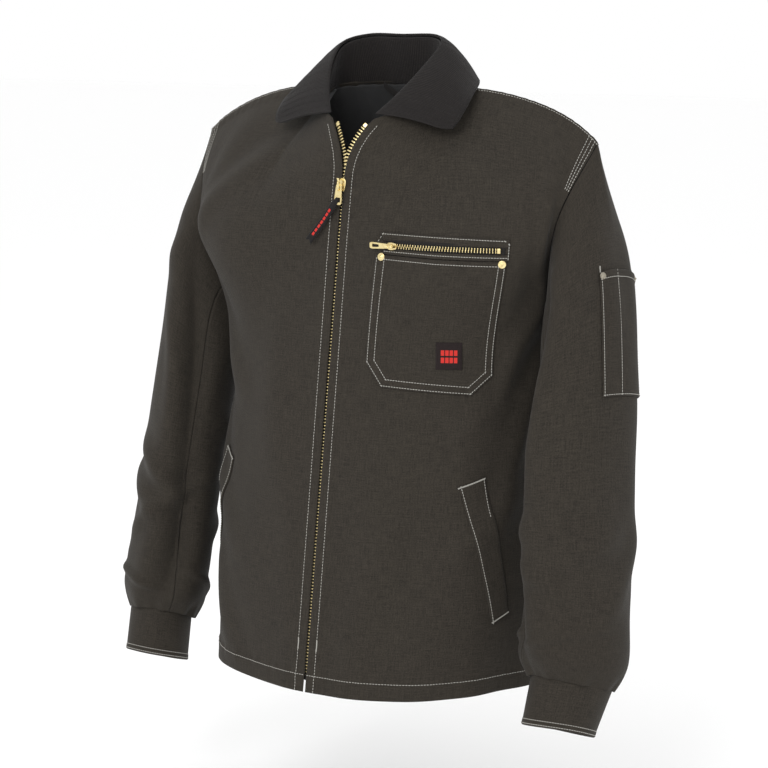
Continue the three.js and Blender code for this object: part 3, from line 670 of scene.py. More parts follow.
SLEEVE_FOLDS = [  # turn, w, turn, w, width and height in millimetres
    (60, 2.9, 150, 3.5, 15, 5.1), (20, 3.3, 110, 3.8, 16, 4.5), (70, 3.9, 175, 3.3, 14, 4.5),
    (95, 1.6, 120, 2.6, 20, 4.5), (40, 4.4, 120, 4.9, 13, 3.3), (-40, 3.2, 30, 4.2, 20, 3.6),
    (200, 2.7, 290, 3.2, 16, 4.8), (215, 3.9, 300, 3.5, 16, 4.2), (-20, 0.9, -30, 2.4, 24, 3.6),
    (136, 0.9, 148, 5.0, 30, -13.0), (165, 1.2, 170, 4.6, 40, -7.0), (150, 4.6, 240, 5.1, 14, 3.6),
    (100, 0.6, 60, 1.3, 18, 3.3), (250, 0.6, 290, 1.4, 18, 3.6),
]
DEGREE = 0.98  # millimetres round the sleeve for each degree
RING_STEP = 100.0
SLEEVE_WAVES = [  # waves round the sleeve, waves along it, size, phase
    (2, 1.1, 0.9, 0.4), (3, 2.3, 0.8, 2.2), (5, 1.7, 0.5, 4.1), (7, 3.1, 0.3, 1.0),
]
RIGHT_TURNED = 9.0  # how many degrees further round the right sleeve's folds lie


def armhole(turn):
    d = np.mod(turn, 360)
    front = body(np.ones(d.shape), TOP_ROW - np.minimum(d, 180) / 90, False)
    rear = body(np.ones(d.shape), ARMPIT_ROW + (np.maximum(d, 180) - 180) / 90, True)
    return np.where((d <= 180)[..., None], front, rear)


def ring(values, turn):
    cx, cy, cz, long, short, beta, tilt, forward = values
    b, r = math.radians(beta), np.radians(turn)
    p, q = long * np.cos(r + b), short * np.sin(r + b)
    dx, dy = p * math.cos(b) + q * math.sin(b), p * math.sin(b) - q * math.cos(b)
    return point(cx + dx, cy + dy, cz + tilt * dx + forward * dy)


def bare_sleeve(turn, w):
    rows = [armhole(turn)] + [ring(values, turn) for values in RINGS]
    return through(rows, 0.6 * (rows[-1] - rows[-2]), w)


def round_sleeve(turn):
    """Millimetres round the sleeve for a turn in degrees, by the shorter way."""
    return (np.mod(turn + 180, 360) - 180) * DEGREE


def sleeve_relief(turn, w, side):
    """Folds at the elbow, gathers over the cuff and the raised seams of one sleeve."""
    seam_turn = turn
    turn = turn + (0 if side > 0 else RIGHT_TURNED)
    lift = np.zeros(np.shape(turn))
    for k, (t0, w0, t1, w1, width, height) in enumerate(SLEEVE_FOLDS):
        shift = 0.0 if side > 0 else 0.17 * math.sin(5.0 * k)
        run, rise = (t1 - t0) * DEGREE, (w1 - w0) * RING_STEP
        long = math.hypot(run, rise)
        du = round_sleeve(turn - t0)
        dw = (w - w0 - shift) * RING_STEP
        t = (du * run + dw * rise) / long**2
        off = (du * rise - dw * run) / long + 0.16 * long * (t - 0.5) ** 2
        d = off / width
        fade = height * smooth((t + 0.3) / 0.5) * smooth((1.3 - t) / 0.5)
        lift = lift + fade * (1 - d * d) * np.exp(-d * d)
    r = np.radians(turn)
    for n, m, size, phase in SLEEVE_WAVES:
        lift = lift + size * np.sin(n * r + m * w + phase + side)
    gathers = np.sin(9 * r + 1.3 * np.sin(2 * r)) + 0.6 * np.sin(16 * r + 2)
    lift = lift + 0.9 * gathers * smooth((w - 5.15) / 0.7)
    lift = lift * smooth((w - 0.1) / 0.7)
    for seam in (FRONT_SEAM, BACK_SEAM):
        d = round_sleeve(seam_turn - seam)
        lift = lift + 0.5 * (1 - smooth((np.abs(d) - 4) / 2)) * smooth(w / 0.3)
    return lift


def arm(side):
    """The folded surface of one sleeve."""

    def surface(turn, w):
        p = bare_sleeve(turn, w)
        n = normals(bare_sleeve, turn, w, 0.05, 1e-3)
        p = p + n * sleeve_relief(turn, w, side)[..., None]
        return p * np.array([side, 1, 1])

    return surface


def bends(piece, name, slot, *nodes):
    """A piece of the sleeve, which bends between the jacket and the lifted sleeve."""
    side = dict(SIDES)[name]
    start = (side * LIFT_FROM[0], *LIFT_FROM[1:])
    end = (side * LIFT_TO[0], *LIFT_TO[1:])
    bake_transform(piece, "jacket", f"sleeve_{name}", start=start, end=end)
    if nodes:
        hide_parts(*nodes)


SLEEVE_STEPS = (0.05, 1e-3)
SLEEVE_SEAM_GAP = 0.15
SLEEVE_LINING_LIFT = -9.0
for name, side in SIDES:
    for part, low, high in (("upper", BACK_SEAM, FRONT_SEAM), ("under", FRONT_SEAM, 360 + BACK_SEAM)):
        span = full_span(low + SLEEVE_SEAM_GAP, high - SLEEVE_SEAM_GAP)
        piece = sheet(f"{part}_sleeve_{name}_duck", arm(side), span,
                      (ARMHOLE_CLEAR, len(RINGS)), duck, out=side, steps=SLEEVE_STEPS)
        cut_cloth(piece)
        bends(piece, name, "duck", f"{part}_sleeve_{name}")
    lining = sheet(f"lining_sleeve_{name}", arm(side), full_span(0, 360), (0.9, 5.75), lining_satin,
                   step=4.0, lift=SLEEVE_LINING_LIFT, thick=LINING_THICK, out=side, wraps=True,
                   steps=SLEEVE_STEPS)
    cut_cloth(lining)
    bends(lining, name, "lining", f"sleeve_lining_{name}")


# ---- Cuffs ---------------------------------------------------------------------------------------
# A doubled band of duck closes each sleeve. It is stiff with interlining and turned at the wrist.
CUFF_TOP = [286, -82, -586, 44, 36, 40, 0, -0.35]
CUFF_END = [280, -99, -632, 39, 36, 40, 0, -0.35]
CUFF_THICK = 2.6


def bare_cuff(turn, w):
    r, levels = np.asarray(turn), np.asarray(w)[..., None]
    top, end = ring(CUFF_TOP, r), ring(CUFF_END, r)
    return top + (end - top) * levels


def wrist(side):
    def surface(turn, w):
        p = bare_cuff(turn, w)
        n = normals(bare_cuff, turn, w, 0.05, 1e-3)
        r = np.radians(turn)
        wave = 0.7 * np.sin(2 * r + 1 + side) + 0.5 * np.sin(3 * r + 2) * w + 0.25 * np.sin(7 * r)
        edge = 0.5 * smooth((w - 0.86) / 0.03)
        p = p + n * (wave * (0.3 + 0.7 * w) + edge)[..., None]
        p[..., 2] = p[..., 2] + 0.9 * np.sin(2 * r + 0.6) * smooth((w - 0.3) / 0.7)
        return p * np.array([side, 1, 1])

    return surface


for name, side in SIDES:
    cuff = sheet(f"cuff_band_{name}", wrist(side), full_span(0, 360), (-0.35, 1), duck, step=2.5,
                 thick=CUFF_THICK, out=side, wraps=True, steps=SLEEVE_STEPS)
    stands_for(cuff, f"sleeve_{name}", "duck", f"cuff_{name}")
    cut_cloth(cuff)


# ---- Collar --------------------------------------------------------------------------------------
# Fine-wale corduroy over a firm interlining: a stand that rises from the neckline and a fall
# that rolls over it and lies on the shoulders. The wales run from the roll to the outer edge.
FOLD = [[0, 16, 113], [44, 15, 113], [66, -6, 104], [62, -35, 80], [47, -62, 51], [30, -83, 28]]
FALL = [[0, 48, 61], [54, 43, 61], [104, 14, 63], [122, -28, 47], [125, -54, 27], [119, -68, 9]]
NECKLINE = [[0, 27, 63], [38, 26, 63], [74, 6, 59], [76, -26, 50], [60, -63, 34], [29, -86, 23]]
UNDER_FOLD = 7.0
CORD_THICK = 2.4
WALE = 2.1


def collar_line(points, t):
    rows = [np.array(p, float) for p in points]
    rows = [rows[1] * np.array([-1, 1, 1])] + rows
    rows = [np.broadcast_to(p, (*np.shape(t), 3)) for p in rows]
    made = through(rows, rows[-1] - rows[-2], np.abs(t) * 5 + 1)
    return made * np.stack([np.where(t < 0, -1.0, 1.0), np.ones(t.shape), np.ones(t.shape)], -1)


def stand(t, w):
    base, top = collar_line(NECKLINE, t), collar_line(FOLD, t)
    height = np.linalg.norm(top - base, axis=-1, keepdims=True)
    return base + (top - base) * w[..., None] * (1 - UNDER_FOLD / height)


def fall(t, w):
    top, edge = collar_line(FOLD, t), collar_line(FALL, t)
    over = point((top[..., 0] + edge[..., 0]) / 2, (top[..., 1] + edge[..., 1]) / 2, top[..., 2] - 2)
    w = w[..., None]
    return (1 - w) ** 2 * top + 2 * w * (1 - w) * over + w * w * edge


def wales(across, along):
    return 0.42 * np.abs(np.sin(np.pi * across / WALE)) ** 0.7 - 0.4


def collar_end(w):
    """The fall's front edge, with its point rounded off."""
    near_point = np.clip((np.asarray(w) - 0.78) / 0.22, 0, 1)
    return 1 - 0.075 * (1 - np.sqrt(np.clip(1 - near_point**2, 0, 1)))


def fall_span(w):
    return -collar_end(w), collar_end(w)


def corduroy_cloth():
    """Cut pile ribs with painted shade that darkens the valleys, and a soft nap that catches light at a
    slant.
    """
    material = woven("corduroy_pile", (0.0075, 0.0060, 0.0056), (0.0250, 0.0208, 0.0195), threads=1800.0,
                     heather=0.55, fading=0.3, bump=0.5, sheen=0.08)
    tree = material.node_tree
    shader = tree.nodes["Principled BSDF"]
    pile = shader.inputs["Base Color"].links[0].from_socket
    cut = node(tree, "ShaderNodeUVMap", uv_map="cut").outputs[0]
    across = node(tree, "ShaderNodeSeparateXYZ", {0: cut}).outputs[0]
    rib = wave_of(tree, across, math.pi / (WALE * 0.001))
    crown = times(tree, rib, rib)
    # Painted shade: the valleys between the ribs are darkened in the colour.
    groove_painted_shade = colour_mix(tree, crown, (0.0035, 0.0027, 0.0026, 1), pile)
    tree.links.new(groove_painted_shade, shader.inputs["Base Color"])
    return material


corduroy = corduroy_cloth()
piece = sheet("collar_fall_cord", fall, fall_span, (0, 1), corduroy, step=(0.55, 4.0), lift=CORD_THICK / 2,
              thick=CORD_THICK, out=-1, relief=wales)
on_jacket(piece, "corduroy", "collar_fall")
piece = sheet("collar_stand_cord", stand, full_span(-0.93, 0.93), (-0.14, 1.09), corduroy, step=(0.55, 5.0),
              lift=CORD_THICK, thick=CORD_THICK, relief=wales)
on_jacket(piece, "corduroy", "collar_stand")


# ---- Topstitching --------------------------------------------------------------------------------
# Light grey lockstitch: one row beside the zip and round the hem, one on each side of the shoulder
# seam, three round the armhole and two at the side seams. Each stitch is a short bead of thread, and
# one Geometry Nodes tree sets any small shape at even steps along rows on the cloth.
STITCH_PITCH = 3.4
THREAD_THICK = 0.85


def thread_material(name, colour, rough=0.6):
    """Twisted thread: fine slanted plies, a little uneven in shade."""
    material, tree, shader = new_material(name)
    place = node(tree, "ShaderNodeTexCoord").outputs["Object"]
    uneven = stretched_noise(tree, place, (350, 350, 350), 2.0)
    plies = stretched_noise(tree, place, (3000, 3000, 900), 1.0)
    darker = (*(c * 0.72 for c in colour), 1)
    lighter = (*(min(1, c * 1.25) for c in colour), 1)
    shade = colour_mix(tree, uneven, darker, lighter)
    tree.links.new(shade, shader.inputs["Base Color"])
    tree.links.new(plus(tree, times(tree, plies, 0.3), rough - 0.15), shader.inputs["Roughness"])
    raised = node(tree, "ShaderNodeBump", {"Strength": 0.4, "Distance": 0.0002, "Height": plies})
    tree.links.new(raised.outputs[0], shader.inputs["Normal"])
    return material


grey_thread = thread_material("grey_thread", (0.33, 0.32, 0.29))

setter = bpy.data.node_groups.new("shapes_along_rows", "GeometryNodeTree")
socket_ids = {}
for label, direction, kind in (
    ("Rows", "INPUT", "NodeSocketGeometry"), ("Pitch", "INPUT", "NodeSocketFloat"),
    ("Shape", "INPUT", "NodeSocketObject"), ("Finish", "INPUT", "NodeSocketMaterial"),
    ("Uneven", "INPUT", "NodeSocketFloat"), ("Seed", "INPUT", "NodeSocketInt"),
    ("Pieces", "OUTPUT", "NodeSocketGeometry"),
):
    socket_ids[label] = setter.interface.new_socket(label, in_out=direction, socket_type=kind).identifier
enter, leave = node(setter, "NodeGroupInput"), node(setter, "NodeGroupOutput")
rows = node(setter, "GeometryNodeMeshToCurve", {0: enter.outputs["Rows"]}).outputs[0]
spaced = node(setter, "GeometryNodeResampleCurve", {"Curve": rows, "Length": enter.outputs["Pitch"]},
              mode="LENGTH")
facing = node(setter, "GeometryNodeInputNamedAttribute", {"Name": "facing"}, data_type="FLOAT_VECTOR")
along = node(setter, "GeometryNodeInputTangent")
turned = node(setter, "FunctionNodeAxesToRotation", {0: along.outputs[0], 1: facing.outputs[0]},
              primary_axis="X", secondary_axis="Z")
wobble = times(setter, enter.outputs["Uneven"], -1.0)
sway = node(setter, "FunctionNodeRandomValue", {2: wobble, 3: enter.outputs["Uneven"],
            "Seed": enter.outputs["Seed"]})
twist = node(setter, "FunctionNodeAxisAngleToRotation", {"Axis": (0, 0, 1), "Angle": sway.outputs[1]})
turned = node(setter, "FunctionNodeRotateRotation", {0: turned.outputs[0], 1: twist.outputs[0]},
              rotation_space="LOCAL")
shape = node(setter, "GeometryNodeObjectInfo", {0: enter.outputs["Shape"]})
laid = node(setter, "GeometryNodeInstanceOnPoints", {"Points": spaced.outputs[0],
            "Instance": shape.outputs["Geometry"], "Rotation": turned.outputs[0]})
real = node(setter, "GeometryNodeRealizeInstances", {0: laid.outputs[0]})
finished = node(setter, "GeometryNodeSetMaterial", {"Geometry": real.outputs[0],
                "Material": enter.outputs["Finish"]})
setter.links.new(finished.outputs[0], leave.inputs["Pieces"])


def small_shape(name, points, faces):
    """A shape for the setter, in millimetres, X along the row and Z off the cloth. Not shown itself."""
    mesh = bpy.data.meshes.new(name)
    mesh.from_pydata((np.asarray(points, float) * 0.001).tolist(), [], faces)
    mesh.shade_smooth()
    return bpy.data.objects.new(name, mesh)


def bead(length, thick):
    """A stitch: a rod of thread whose ends dip into the cloth, six-sided."""
    points, faces = [], []
    for x, dip, swell in ((-0.5, -0.75, 0.55), (-0.32, 0, 1), (0.32, 0, 1), (0.5, -0.75, 0.55)):
        middle, radius = thick * (0.12 + dip * 0.5), thick / 2 * swell
        for k in range(6):
            a = math.pi / 3 * k
            points.append((x * length, radius * math.cos(a), middle + radius * math.sin(a) * 0.8))
    for j in range(3):
        for k in range(6):
            n = (k + 1) % 6
            faces.append((6 * j + k, 6 * j + n, 6 * j + 6 + n, 6 * j + 6 + k))
    faces += [tuple(range(5, -1, -1)), tuple(range(18, 24))]
    return points, [face[::-1] for face in faces]


def set_along(name, paths, shape, pitch, material, uneven=0.0, seed=1):
    """Shapes at even steps along paths, a list of (points in millimetres, normals), as one mesh."""
    points = np.concatenate([p for p, _ in paths]) * 0.001
    facings = np.concatenate([n for _, n in paths])
    edges, start = [], 0
    for p, _ in paths:
        edges += [(start + k, start + k + 1) for k in range(len(p) - 1)]
        start += len(p)
    mesh = bpy.data.meshes.new(name)
    mesh.from_pydata(points.tolist(), edges, [])
    facing_layer = mesh.attributes.new("facing", "FLOAT_VECTOR", "POINT")
    facing_layer.data.foreach_set("vector", facings.astype(np.float32).ravel())
    source = shown(name + "_rows", mesh)
    modifier = source.modifiers.new("set", "NODES")
    modifier.node_group = setter
    for label, value in (("Pitch", pitch * 0.001), ("Shape", shape), ("Finish", material),
                         ("Uneven", uneven), ("Seed", seed)):
        modifier[socket_ids[label]] = value
    evaluated = source.evaluated_get(bpy.context.evaluated_depsgraph_get())
    made = shown(name, bpy.data.meshes.new_from_object(evaluated))
    bpy.data.objects.remove(source)
    for attribute in [a for a in made.data.attributes if a.name == "facing"]:
        made.data.attributes.remove(attribute)
    return made


def on_cloth(surface, s, v, lift=0.1, out=1, steps=(1e-3, 1e-3)):
    """Points on a cloth surface and their normals, for a row of stitches."""
    s, v = np.broadcast_arrays(np.asarray(s, float), np.asarray(v, float))
    n = normals(surface, s, v, *steps) * out
    height = lift(s, v) if callable(lift) else lift
    p = surface(s, v) + n * (height[..., None] if np.ndim(height) else height)
    return p, n


def bar(surface, a, b, count=5, **where):
    """A short straight row between two places on the cloth."""
    t = np.linspace(0, 1, count)
    return on_cloth(surface, a[0] + (b[0] - a[0]) * t, a[1] + (b[1] - a[1]) * t, **where)


stitch = small_shape("stitch", *bead(STITCH_PITCH * 0.74, THREAD_THICK))
tack = small_shape("tack_stitch", *bead(1.7, 0.6))
tack.data.transform(Matrix.Rotation(math.radians(90), 4, "Z"))
HEM_ROW = HEM_DEEP / LOW_ROW_HEIGHT
ZIP_STITCH = 11.0
FINE_PITCH, TACK_PITCH = 0.9 * STITCH_PITCH, 0.55
ARMHOLE_ROWS, SIDE_ROWS = (3, 7, 11), (3, 9)  # millimetres from the seam


def stitched(name, rows, seed, pitch=STITCH_PITCH):
    return set_along(name, rows, stitch, pitch, grey_thread, 0.05, seed)


def tacked(name, rows, seed):
    return set_along(name, rows, tack, TACK_PITCH, grey_thread, 0.12, seed)


body_rows, body_tacks = [], []
long_v = np.linspace(HEM_ROW * 0.1, 4.9, 220)
for name, side in SIDES:
    front, rear = coat(side), coat(side, True)
    round_s = np.linspace(0, 1, 90)
    hem_s = beside_zip(2, np.full(90, HEM_ROW)) * (1 - round_s) + round_s
    body_rows.append(on_cloth(front, hem_s, HEM_ROW, out=side))
    body_rows.append(on_cloth(rear, round_s, HEM_ROW, out=-side))
    body_rows.append(on_cloth(front, beside_zip(ZIP_STITCH, long_v), long_v, out=side))
    tack_ends = [(beside_zip(ZIP_STITCH, v), v) for v in (0.44, 0.35)]
    body_tacks.append(bar(front, *tack_ends, out=side))
    seam_s = np.linspace(NECK_SHARE + 0.02, 1 - SEAM_GAP, 60)
    body_rows.append(on_cloth(rear, seam_s, TOP_ROW - 3 / TOP_ROW_HEIGHT, out=-side))
    body_rows.append(on_cloth(front, seam_s, TOP_ROW - 2.5 / TOP_ROW_HEIGHT, out=side))
    for off in ARMHOLE_ROWS:
        hole_v = np.linspace(ARMPIT_ROW + 1.42, TOP_ROW - 0.03, 40)
        body_rows.append(on_cloth(front, 1 - off / ARMHOLE_GIRTH, hole_v, out=side))
        hole_v = np.linspace(ARMPIT_ROW + 0.08, TOP_ROW - 0.03, 90)
        body_rows.append(on_cloth(rear, 1 - off / ARMHOLE_GIRTH, hole_v, out=-side))
    for off in SIDE_ROWS:
        side_v = np.linspace(HEM_ROW, ARMPIT_ROW, 110)
        body_rows.append(on_cloth(rear, 1 - off / HALF_GIRTH, side_v, out=-side))
stands_for(stitched("body_topstitching", body_rows, 3), "jacket", "thread")
stands_for(tacked("body_bartacks", body_tacks, 4), "jacket", "thread")
round_turn = np.linspace(0, 360, 120)
for name, side in SIDES:
    rows = [on_cloth(wrist(side), round_turn, w, out=side, steps=SLEEVE_STEPS) for w in (0.86, 0.955)]
    piece = stitched(f"cuff_topstitching_{name}", rows, 5, 0.85 * STITCH_PITCH)
    stands_for(piece, f"sleeve_{name}", "thread")


# ---- Main zip ------------------------------------------------------------------------------------
# A separating brass zip on woven tape, sewn behind the front edges. Closed, the chain lies in the
# slit; above the slider its two halves part along the neckline. The slider has a bridge, a slotted
# pull, and a black woven strap knotted through it; a box and pin join the tapes at the hem.
TOOTH_PITCH = 3.6
CHAIN_LIFT = -3.9
ROOT_CLOSED, ROOT_OPEN = 2.7, -1.2  # where the teeth leave the tape, from the front edge
METAL_SHARP = 38.0  # degrees


def wear_group():
    """Slight tarnish and handling marks on metal, as a tint and a roughness."""
    group = new_group("metal_wear", [("Vector", VECTOR, None), ("Bright", COLOUR, (1, 1, 1, 1)),
                      ("Dull", COLOUR, (0.5, 0.5, 0.5, 1)), ("Polish", FLOAT, 0.25)],
                      [("Color", COLOUR), ("Roughness", FLOAT), ("Height", FLOAT)])
    enter, leave = node(group, "NodeGroupInput"), node(group, "NodeGroupOutput")
    blotch = stretched_noise(group, enter.outputs["Vector"], (260, 260, 260), 3.0)
    scratch = stretched_noise(group, enter.outputs["Vector"], (2600, 500, 900), 2.0)
    above = maths(group, "SUBTRACT", blotch, 0.42)
    worn = node(group, "ShaderNodeClamp", {"Value": times(group, above, 3.0)}).outputs[0]
    shade = colour_mix(group, worn, enter.outputs["Bright"], enter.outputs["Dull"])
    group.links.new(shade, leave.inputs["Color"])
    rough = plus(group, times(group, scratch, 0.18), enter.outputs["Polish"])
    rough = plus(group, rough, times(group, worn, 0.1))
    group.links.new(rough, leave.inputs["Roughness"])
    group.links.new(scratch, leave.inputs["Height"])
    return group


metal_wear = wear_group()


def metal(name, bright, dull, polish):
    material, tree, shader = new_material(name)
    place = node(tree, "ShaderNodeTexCoord").outputs["Object"]
    worn = node(tree, "ShaderNodeGroup", {}, node_tree=metal_wear)
    tree.links.new(place, worn.inputs["Vector"])
    worn.inputs["Bright"].default_value = (*bright, 1)
    worn.inputs["Dull"].default_value = (*dull, 1)
    worn.inputs["Polish"].default_value = polish
    raised = node(tree, "ShaderNodeBump", {"Strength": 0.08, "Distance": 0.0002,
                  "Height": worn.outputs["Height"]})
    tree.links.new(worn.outputs["Color"], shader.inputs["Base Color"])
    tree.links.new(worn.outputs["Roughness"], shader.inputs["Roughness"])
    tree.links.new(raised.outputs[0], shader.inputs["Normal"])
    shader.inputs["Metallic"].default_value = 1.0
    return material


brass = metal("brass", (0.82, 0.69, 0.36), (0.62, 0.48, 0.22), 0.2)
# Brass darkened as painted shade: the box and pin sit deep in the slit, where shade hides them.
brass_painted_shade = metal("brass_painted_shade", (0.16, 0.12, 0.06), (0.07, 0.055, 0.035), 0.5)
zip_tape = woven("zip_tape_weave", (0.006, 0.0055, 0.005), (0.017, 0.015, 0.014), threads=1200.0, bump=0.5)


def along_zip(v, closed, parted):
    """A distance from the front edge that changes where the zip parts at the slider."""
    z = body(np.zeros(v.shape), v, False)[..., 2]
    return closed + (parted - closed) * smooth((z - V_FOOT) / 20)


def zip_root(v):
    return along_zip(v, ROOT_CLOSED, ROOT_OPEN)


def tooth(root, head, width, thick):
    """A tooth: a clamp on the tape's cord that narrows to a rounded head."""
    outline = [(-1.0, root), (1.0, root), (1.0, 0.36 * head), (0.72, 0.5 * head), (0.72, 0.9 * head),
               (0.4, head), (-0.4, head), (-0.72, 0.9 * head), (-0.72, 0.5 * head), (-1.0, 0.36 * head)]
    middle, points = (root + head) / 2, []
    for z, shrink in ((-0.5, 0.72), (-0.38, 1), (0.38, 1), (0.5, 0.72)):
        for x, y in outline:
            points.append((x * width / 2 * shrink, middle + (y - middle) * (0.4 + 0.6 * shrink), z * thick))
    n = len(outline)
    faces = [(n * j + k, n * j + (k + 1) % n, n * j + n + (k + 1) % n, n * j + n + k)
             for j in range(3) for k in range(n)]
    return points, faces + [tuple(range(n - 1, -1, -1)), tuple(range(3 * n, 4 * n))]


def tape_span(v):
    """From just past the teeth to where the tape is sewn down."""
    return beside_zip(along_zip(v, -1.3, ROOT_OPEN - 0.9), v), beside_zip(zip_root(v) + 13, v)


zip_tooth = small_shape("zip_tooth", *tooth(-1.4, 4.3, 1.9, 2.6))
for name, side in SIDES:
    tape = sheet(f"zip_tape_{name}_weave", coat(side), tape_span, (0.1, 4.95), zip_tape, step=(2.5, 4),
                 lift=CHAIN_LIFT - 0.2, thick=0.7, out=side)
    on_jacket(tape, "tape", f"zip_tape_{name}")
    teeth_v = np.linspace(0.15, 4.945, 400) + (0 if side > 0 else 0.5 * TOOTH_PITCH / ROW_HEIGHT)
    path, outward = on_cloth(coat(side), beside_zip(zip_root(teeth_v), teeth_v), teeth_v, CHAIN_LIFT, side)
    path, outward = path[::side], outward[::side]
    teeth = set_along(f"zip_teeth_{name}_brass", [(path, outward)], zip_tooth, TOOTH_PITCH, brass)
    stands_for(teeth, "jacket", "brass", f"zip_teeth_{name}")


def rounded(corners, radius, count=5):
    """A closed outline with its corners rounded."""
    made = []
    for k, corner in enumerate(corners):
        here = np.array(corner, float)
        ends = []
        for other in (corners[k - 1], corners[(k + 1) % len(corners)]):
            way = np.array(other, float) - here
            long = np.linalg.norm(way)
            ends.append(here + way / long * min(radius, 0.48 * long))
        for t in np.linspace(0, 1, count):
            made.append(tuple((1 - t) ** 2 * ends[0] + 2 * t * (1 - t) * here + t * t * ends[1]))
    return made


def mirrored(right, radius):
    """A rounded outline that is the same on both sides, from the corners of its right side."""
    left = [(-x, y) for x, y in right[::-1]]
    return rounded(left[-1:] + right + left[:-1], radius)


def plate(name, outlines, low, high, soft, place, material):
    """A flat piece with rounded edges. The first outline goes round it and the rest are holes; low
    and high are its faces, soft the radius of its edges, and place its frame, in millimetres."""
    curve = bpy.data.curves.new(name, "CURVE")
    curve.dimensions, curve.fill_mode = "2D", "BOTH"
    curve.extrude = ((high - low) / 2 - soft) * 0.001
    curve.bevel_depth, curve.bevel_resolution, curve.offset = soft * 0.001, 2, -soft * 0.001
    for outline in outlines:
        spline = curve.splines.new("POLY")
        spline.points.add(len(outline) - 1)
        spline.points.foreach_set("co", [c for x, y in outline for c in (x * 0.001, y * 0.001, 0, 1)])
        spline.use_cyclic_u = True
    flat = shown(name + "_outline", curve)
    mesh = bpy.data.meshes.new_from_object(flat.evaluated_get(bpy.context.evaluated_depsgraph_get()))
    bpy.data.objects.remove(flat)
    mesh.transform(Matrix.Translation((0, 0, (low + high) / 2 * 0.001)))
    mesh.transform(place)
    work = bmesh.new()
    work.from_mesh(mesh)
    bmesh.ops.remove_doubles(work, verts=work.verts, dist=2e-6)
    bmesh.ops.recalc_face_normals(work, faces=work.faces)
    work.to_mesh(mesh)
    work.free()
    mesh.materials.clear()
    mesh.materials.append(material)
    mesh.shade_smooth()
    mesh.set_sharp_from_angle(angle=math.radians(METAL_SHARP))
    return shown(name, mesh)


def joined(name, pieces):
    """Several meshes as one piece."""
    work = bmesh.new()
    for piece in pieces:
        work.from_mesh(piece.data)
    mesh = bpy.data.meshes.new(name)
    work.to_mesh(mesh)
    work.free()
    mesh.materials.append(pieces[0].data.materials[0])
    mesh.set_sharp_from_angle(angle=math.radians(METAL_SHARP))
    for piece in pieces:
        bpy.data.objects.remove(piece)
    return shown(name, mesh)


def placed(across, up, out, origin):
    """A frame from its three axes and its origin in metres."""
    made = Matrix((across, up, out)).transposed().to_4x4()
    made.translation = origin
    return made


def bridge(y_low, y_high, base, top, wall):
    """An arched bridge's side outline, in a slider's length and height."""
    middle = (y_low + y_high) / 2
    outer = [(base, y_low), (top * 0.75, y_low + 0.6), (top, middle - 2), (top, middle + 2),
             (top * 0.75, y_high - 0.6), (base, y_high)]
    inner = [(base, y_low + wall), (top - 2.6, y_low + wall + 0.3), (top - wall, middle - 1.6),
             (top - wall, middle + 1.6), (top - 2.6, y_high - wall - 0.3), (base, y_high - wall)]
    return rounded(outer + inner[::-1], 1.0, 4)


def zip_slider(name, place, wide, long, start, top, plate_low, back_low, material):
    """A slider: front plate with a waist, back plate, the wedge between them, and its bridge."""
    half, end = wide / 2, start + long
    shield = mirrored([(0.62 * half, start), (half, start + 0.2 * long), (half, start + 0.55 * long),
                       (0.74 * half, end)], 1.6)
    parts = [plate("front_plate", [shield], plate_low, plate_low + 1.7, 0.4, place, material)]
    if back_low is not None:
        parts.append(plate("back_plate", [shield], back_low, back_low + 1.4, 0.3, place, material))
        wedge = mirrored([(0.7, start + 0.5), (0.7, start + 0.45 * long)], 0.3)
        parts.append(plate("wedge", [wedge], back_low + 1, plate_low + 0.4, 0.1, place, material))
    sideways = place @ Matrix(((0, 0, 1, 0), (0, 1, 0, 0), (-1, 0, 0, 0), (0, 0, 0, 1)))
    arch = bridge(start + 0.12 * long, end - 0.14 * long, -plate_low - 1.3, -top, -1.5)
    parts.append(plate("arch", [arch], -1.4, 1.4, 0.4, sideways, material))
    return joined(name, parts)


zip_down = Vector(joints["zip_slide"]["axis"])
zip_out = Vector(joints["strap_swing"]["axis"])
zip_across = zip_down.cross(zip_out)
PULL_AT = (5.0, 5.9)  # the pull's hinge: down the zip and out of it, from the slider's origin
pull_hinge = Vector(joints["zip_pull_hinge"]["pos_m"])
slider_origin = pull_hinge - zip_down * PULL_AT[0] * 0.001 - zip_out * PULL_AT[1] * 0.001
slider_place = placed(zip_across, zip_down, zip_out, slider_origin)
piece = zip_slider("zip_slider_brass", slider_place, 11.6, 15.0, -4.0, 7.9, 0.6, -7.6, brass)
stands_for(piece, "zip_slider", "brass", "zip_slider")

pull_place = placed(zip_across, zip_down, zip_out, pull_hinge)
pull_outline = mirrored([(3.5, -1.7), (5.1, 16.5), (4.4, 21.2)], 1.6)
window = mirrored([(1.9, 4.4), (1.7, 0.1)], 0.6)
slot = mirrored([(3.3, 18.2), (3.1, 13.2)], 0.8)
piece = plate("zip_pull_brass", [pull_outline, window, slot], -0.8, 0.8, 0.3, pull_place, brass)
stands_for(piece, "zip_pull", "brass", "zip_pull")

STRAP_LONG, STRAP_WIDE, STRAP_LEAN = 61.0, 9.0, math.radians(35)
strap_start = slider_origin + (zip_down * 19 + zip_out * 7.3) * 0.001
strap_down = zip_down * math.cos(STRAP_LEAN) + zip_across * math.sin(STRAP_LEAN)
strap_across = zip_across * math.cos(STRAP_LEAN) - zip_down * math.sin(STRAP_LEAN)


def strap_line(s, t):
    """The strap: pinched where it goes through the pull, then flat, and curling in at its end."""
    pinch = 1 - 0.42 * (1 - smooth(t / 0.16))
    down = STRAP_LONG * t - 3.0 * (1 - 2 * np.abs(s)) * t**9
    out = 0.9 - 1.5 * np.sin(np.pi * t) ** 2 + 0.8 * t - 1.2 * (2 * s) ** 2 * (1 - t) * 0.6
    return np.stack([start * 1000 + x * s * STRAP_WIDE * pinch + y * down + z * out
                     for start, x, y, z in zip(strap_start, strap_across, strap_down, zip_out)], -1)


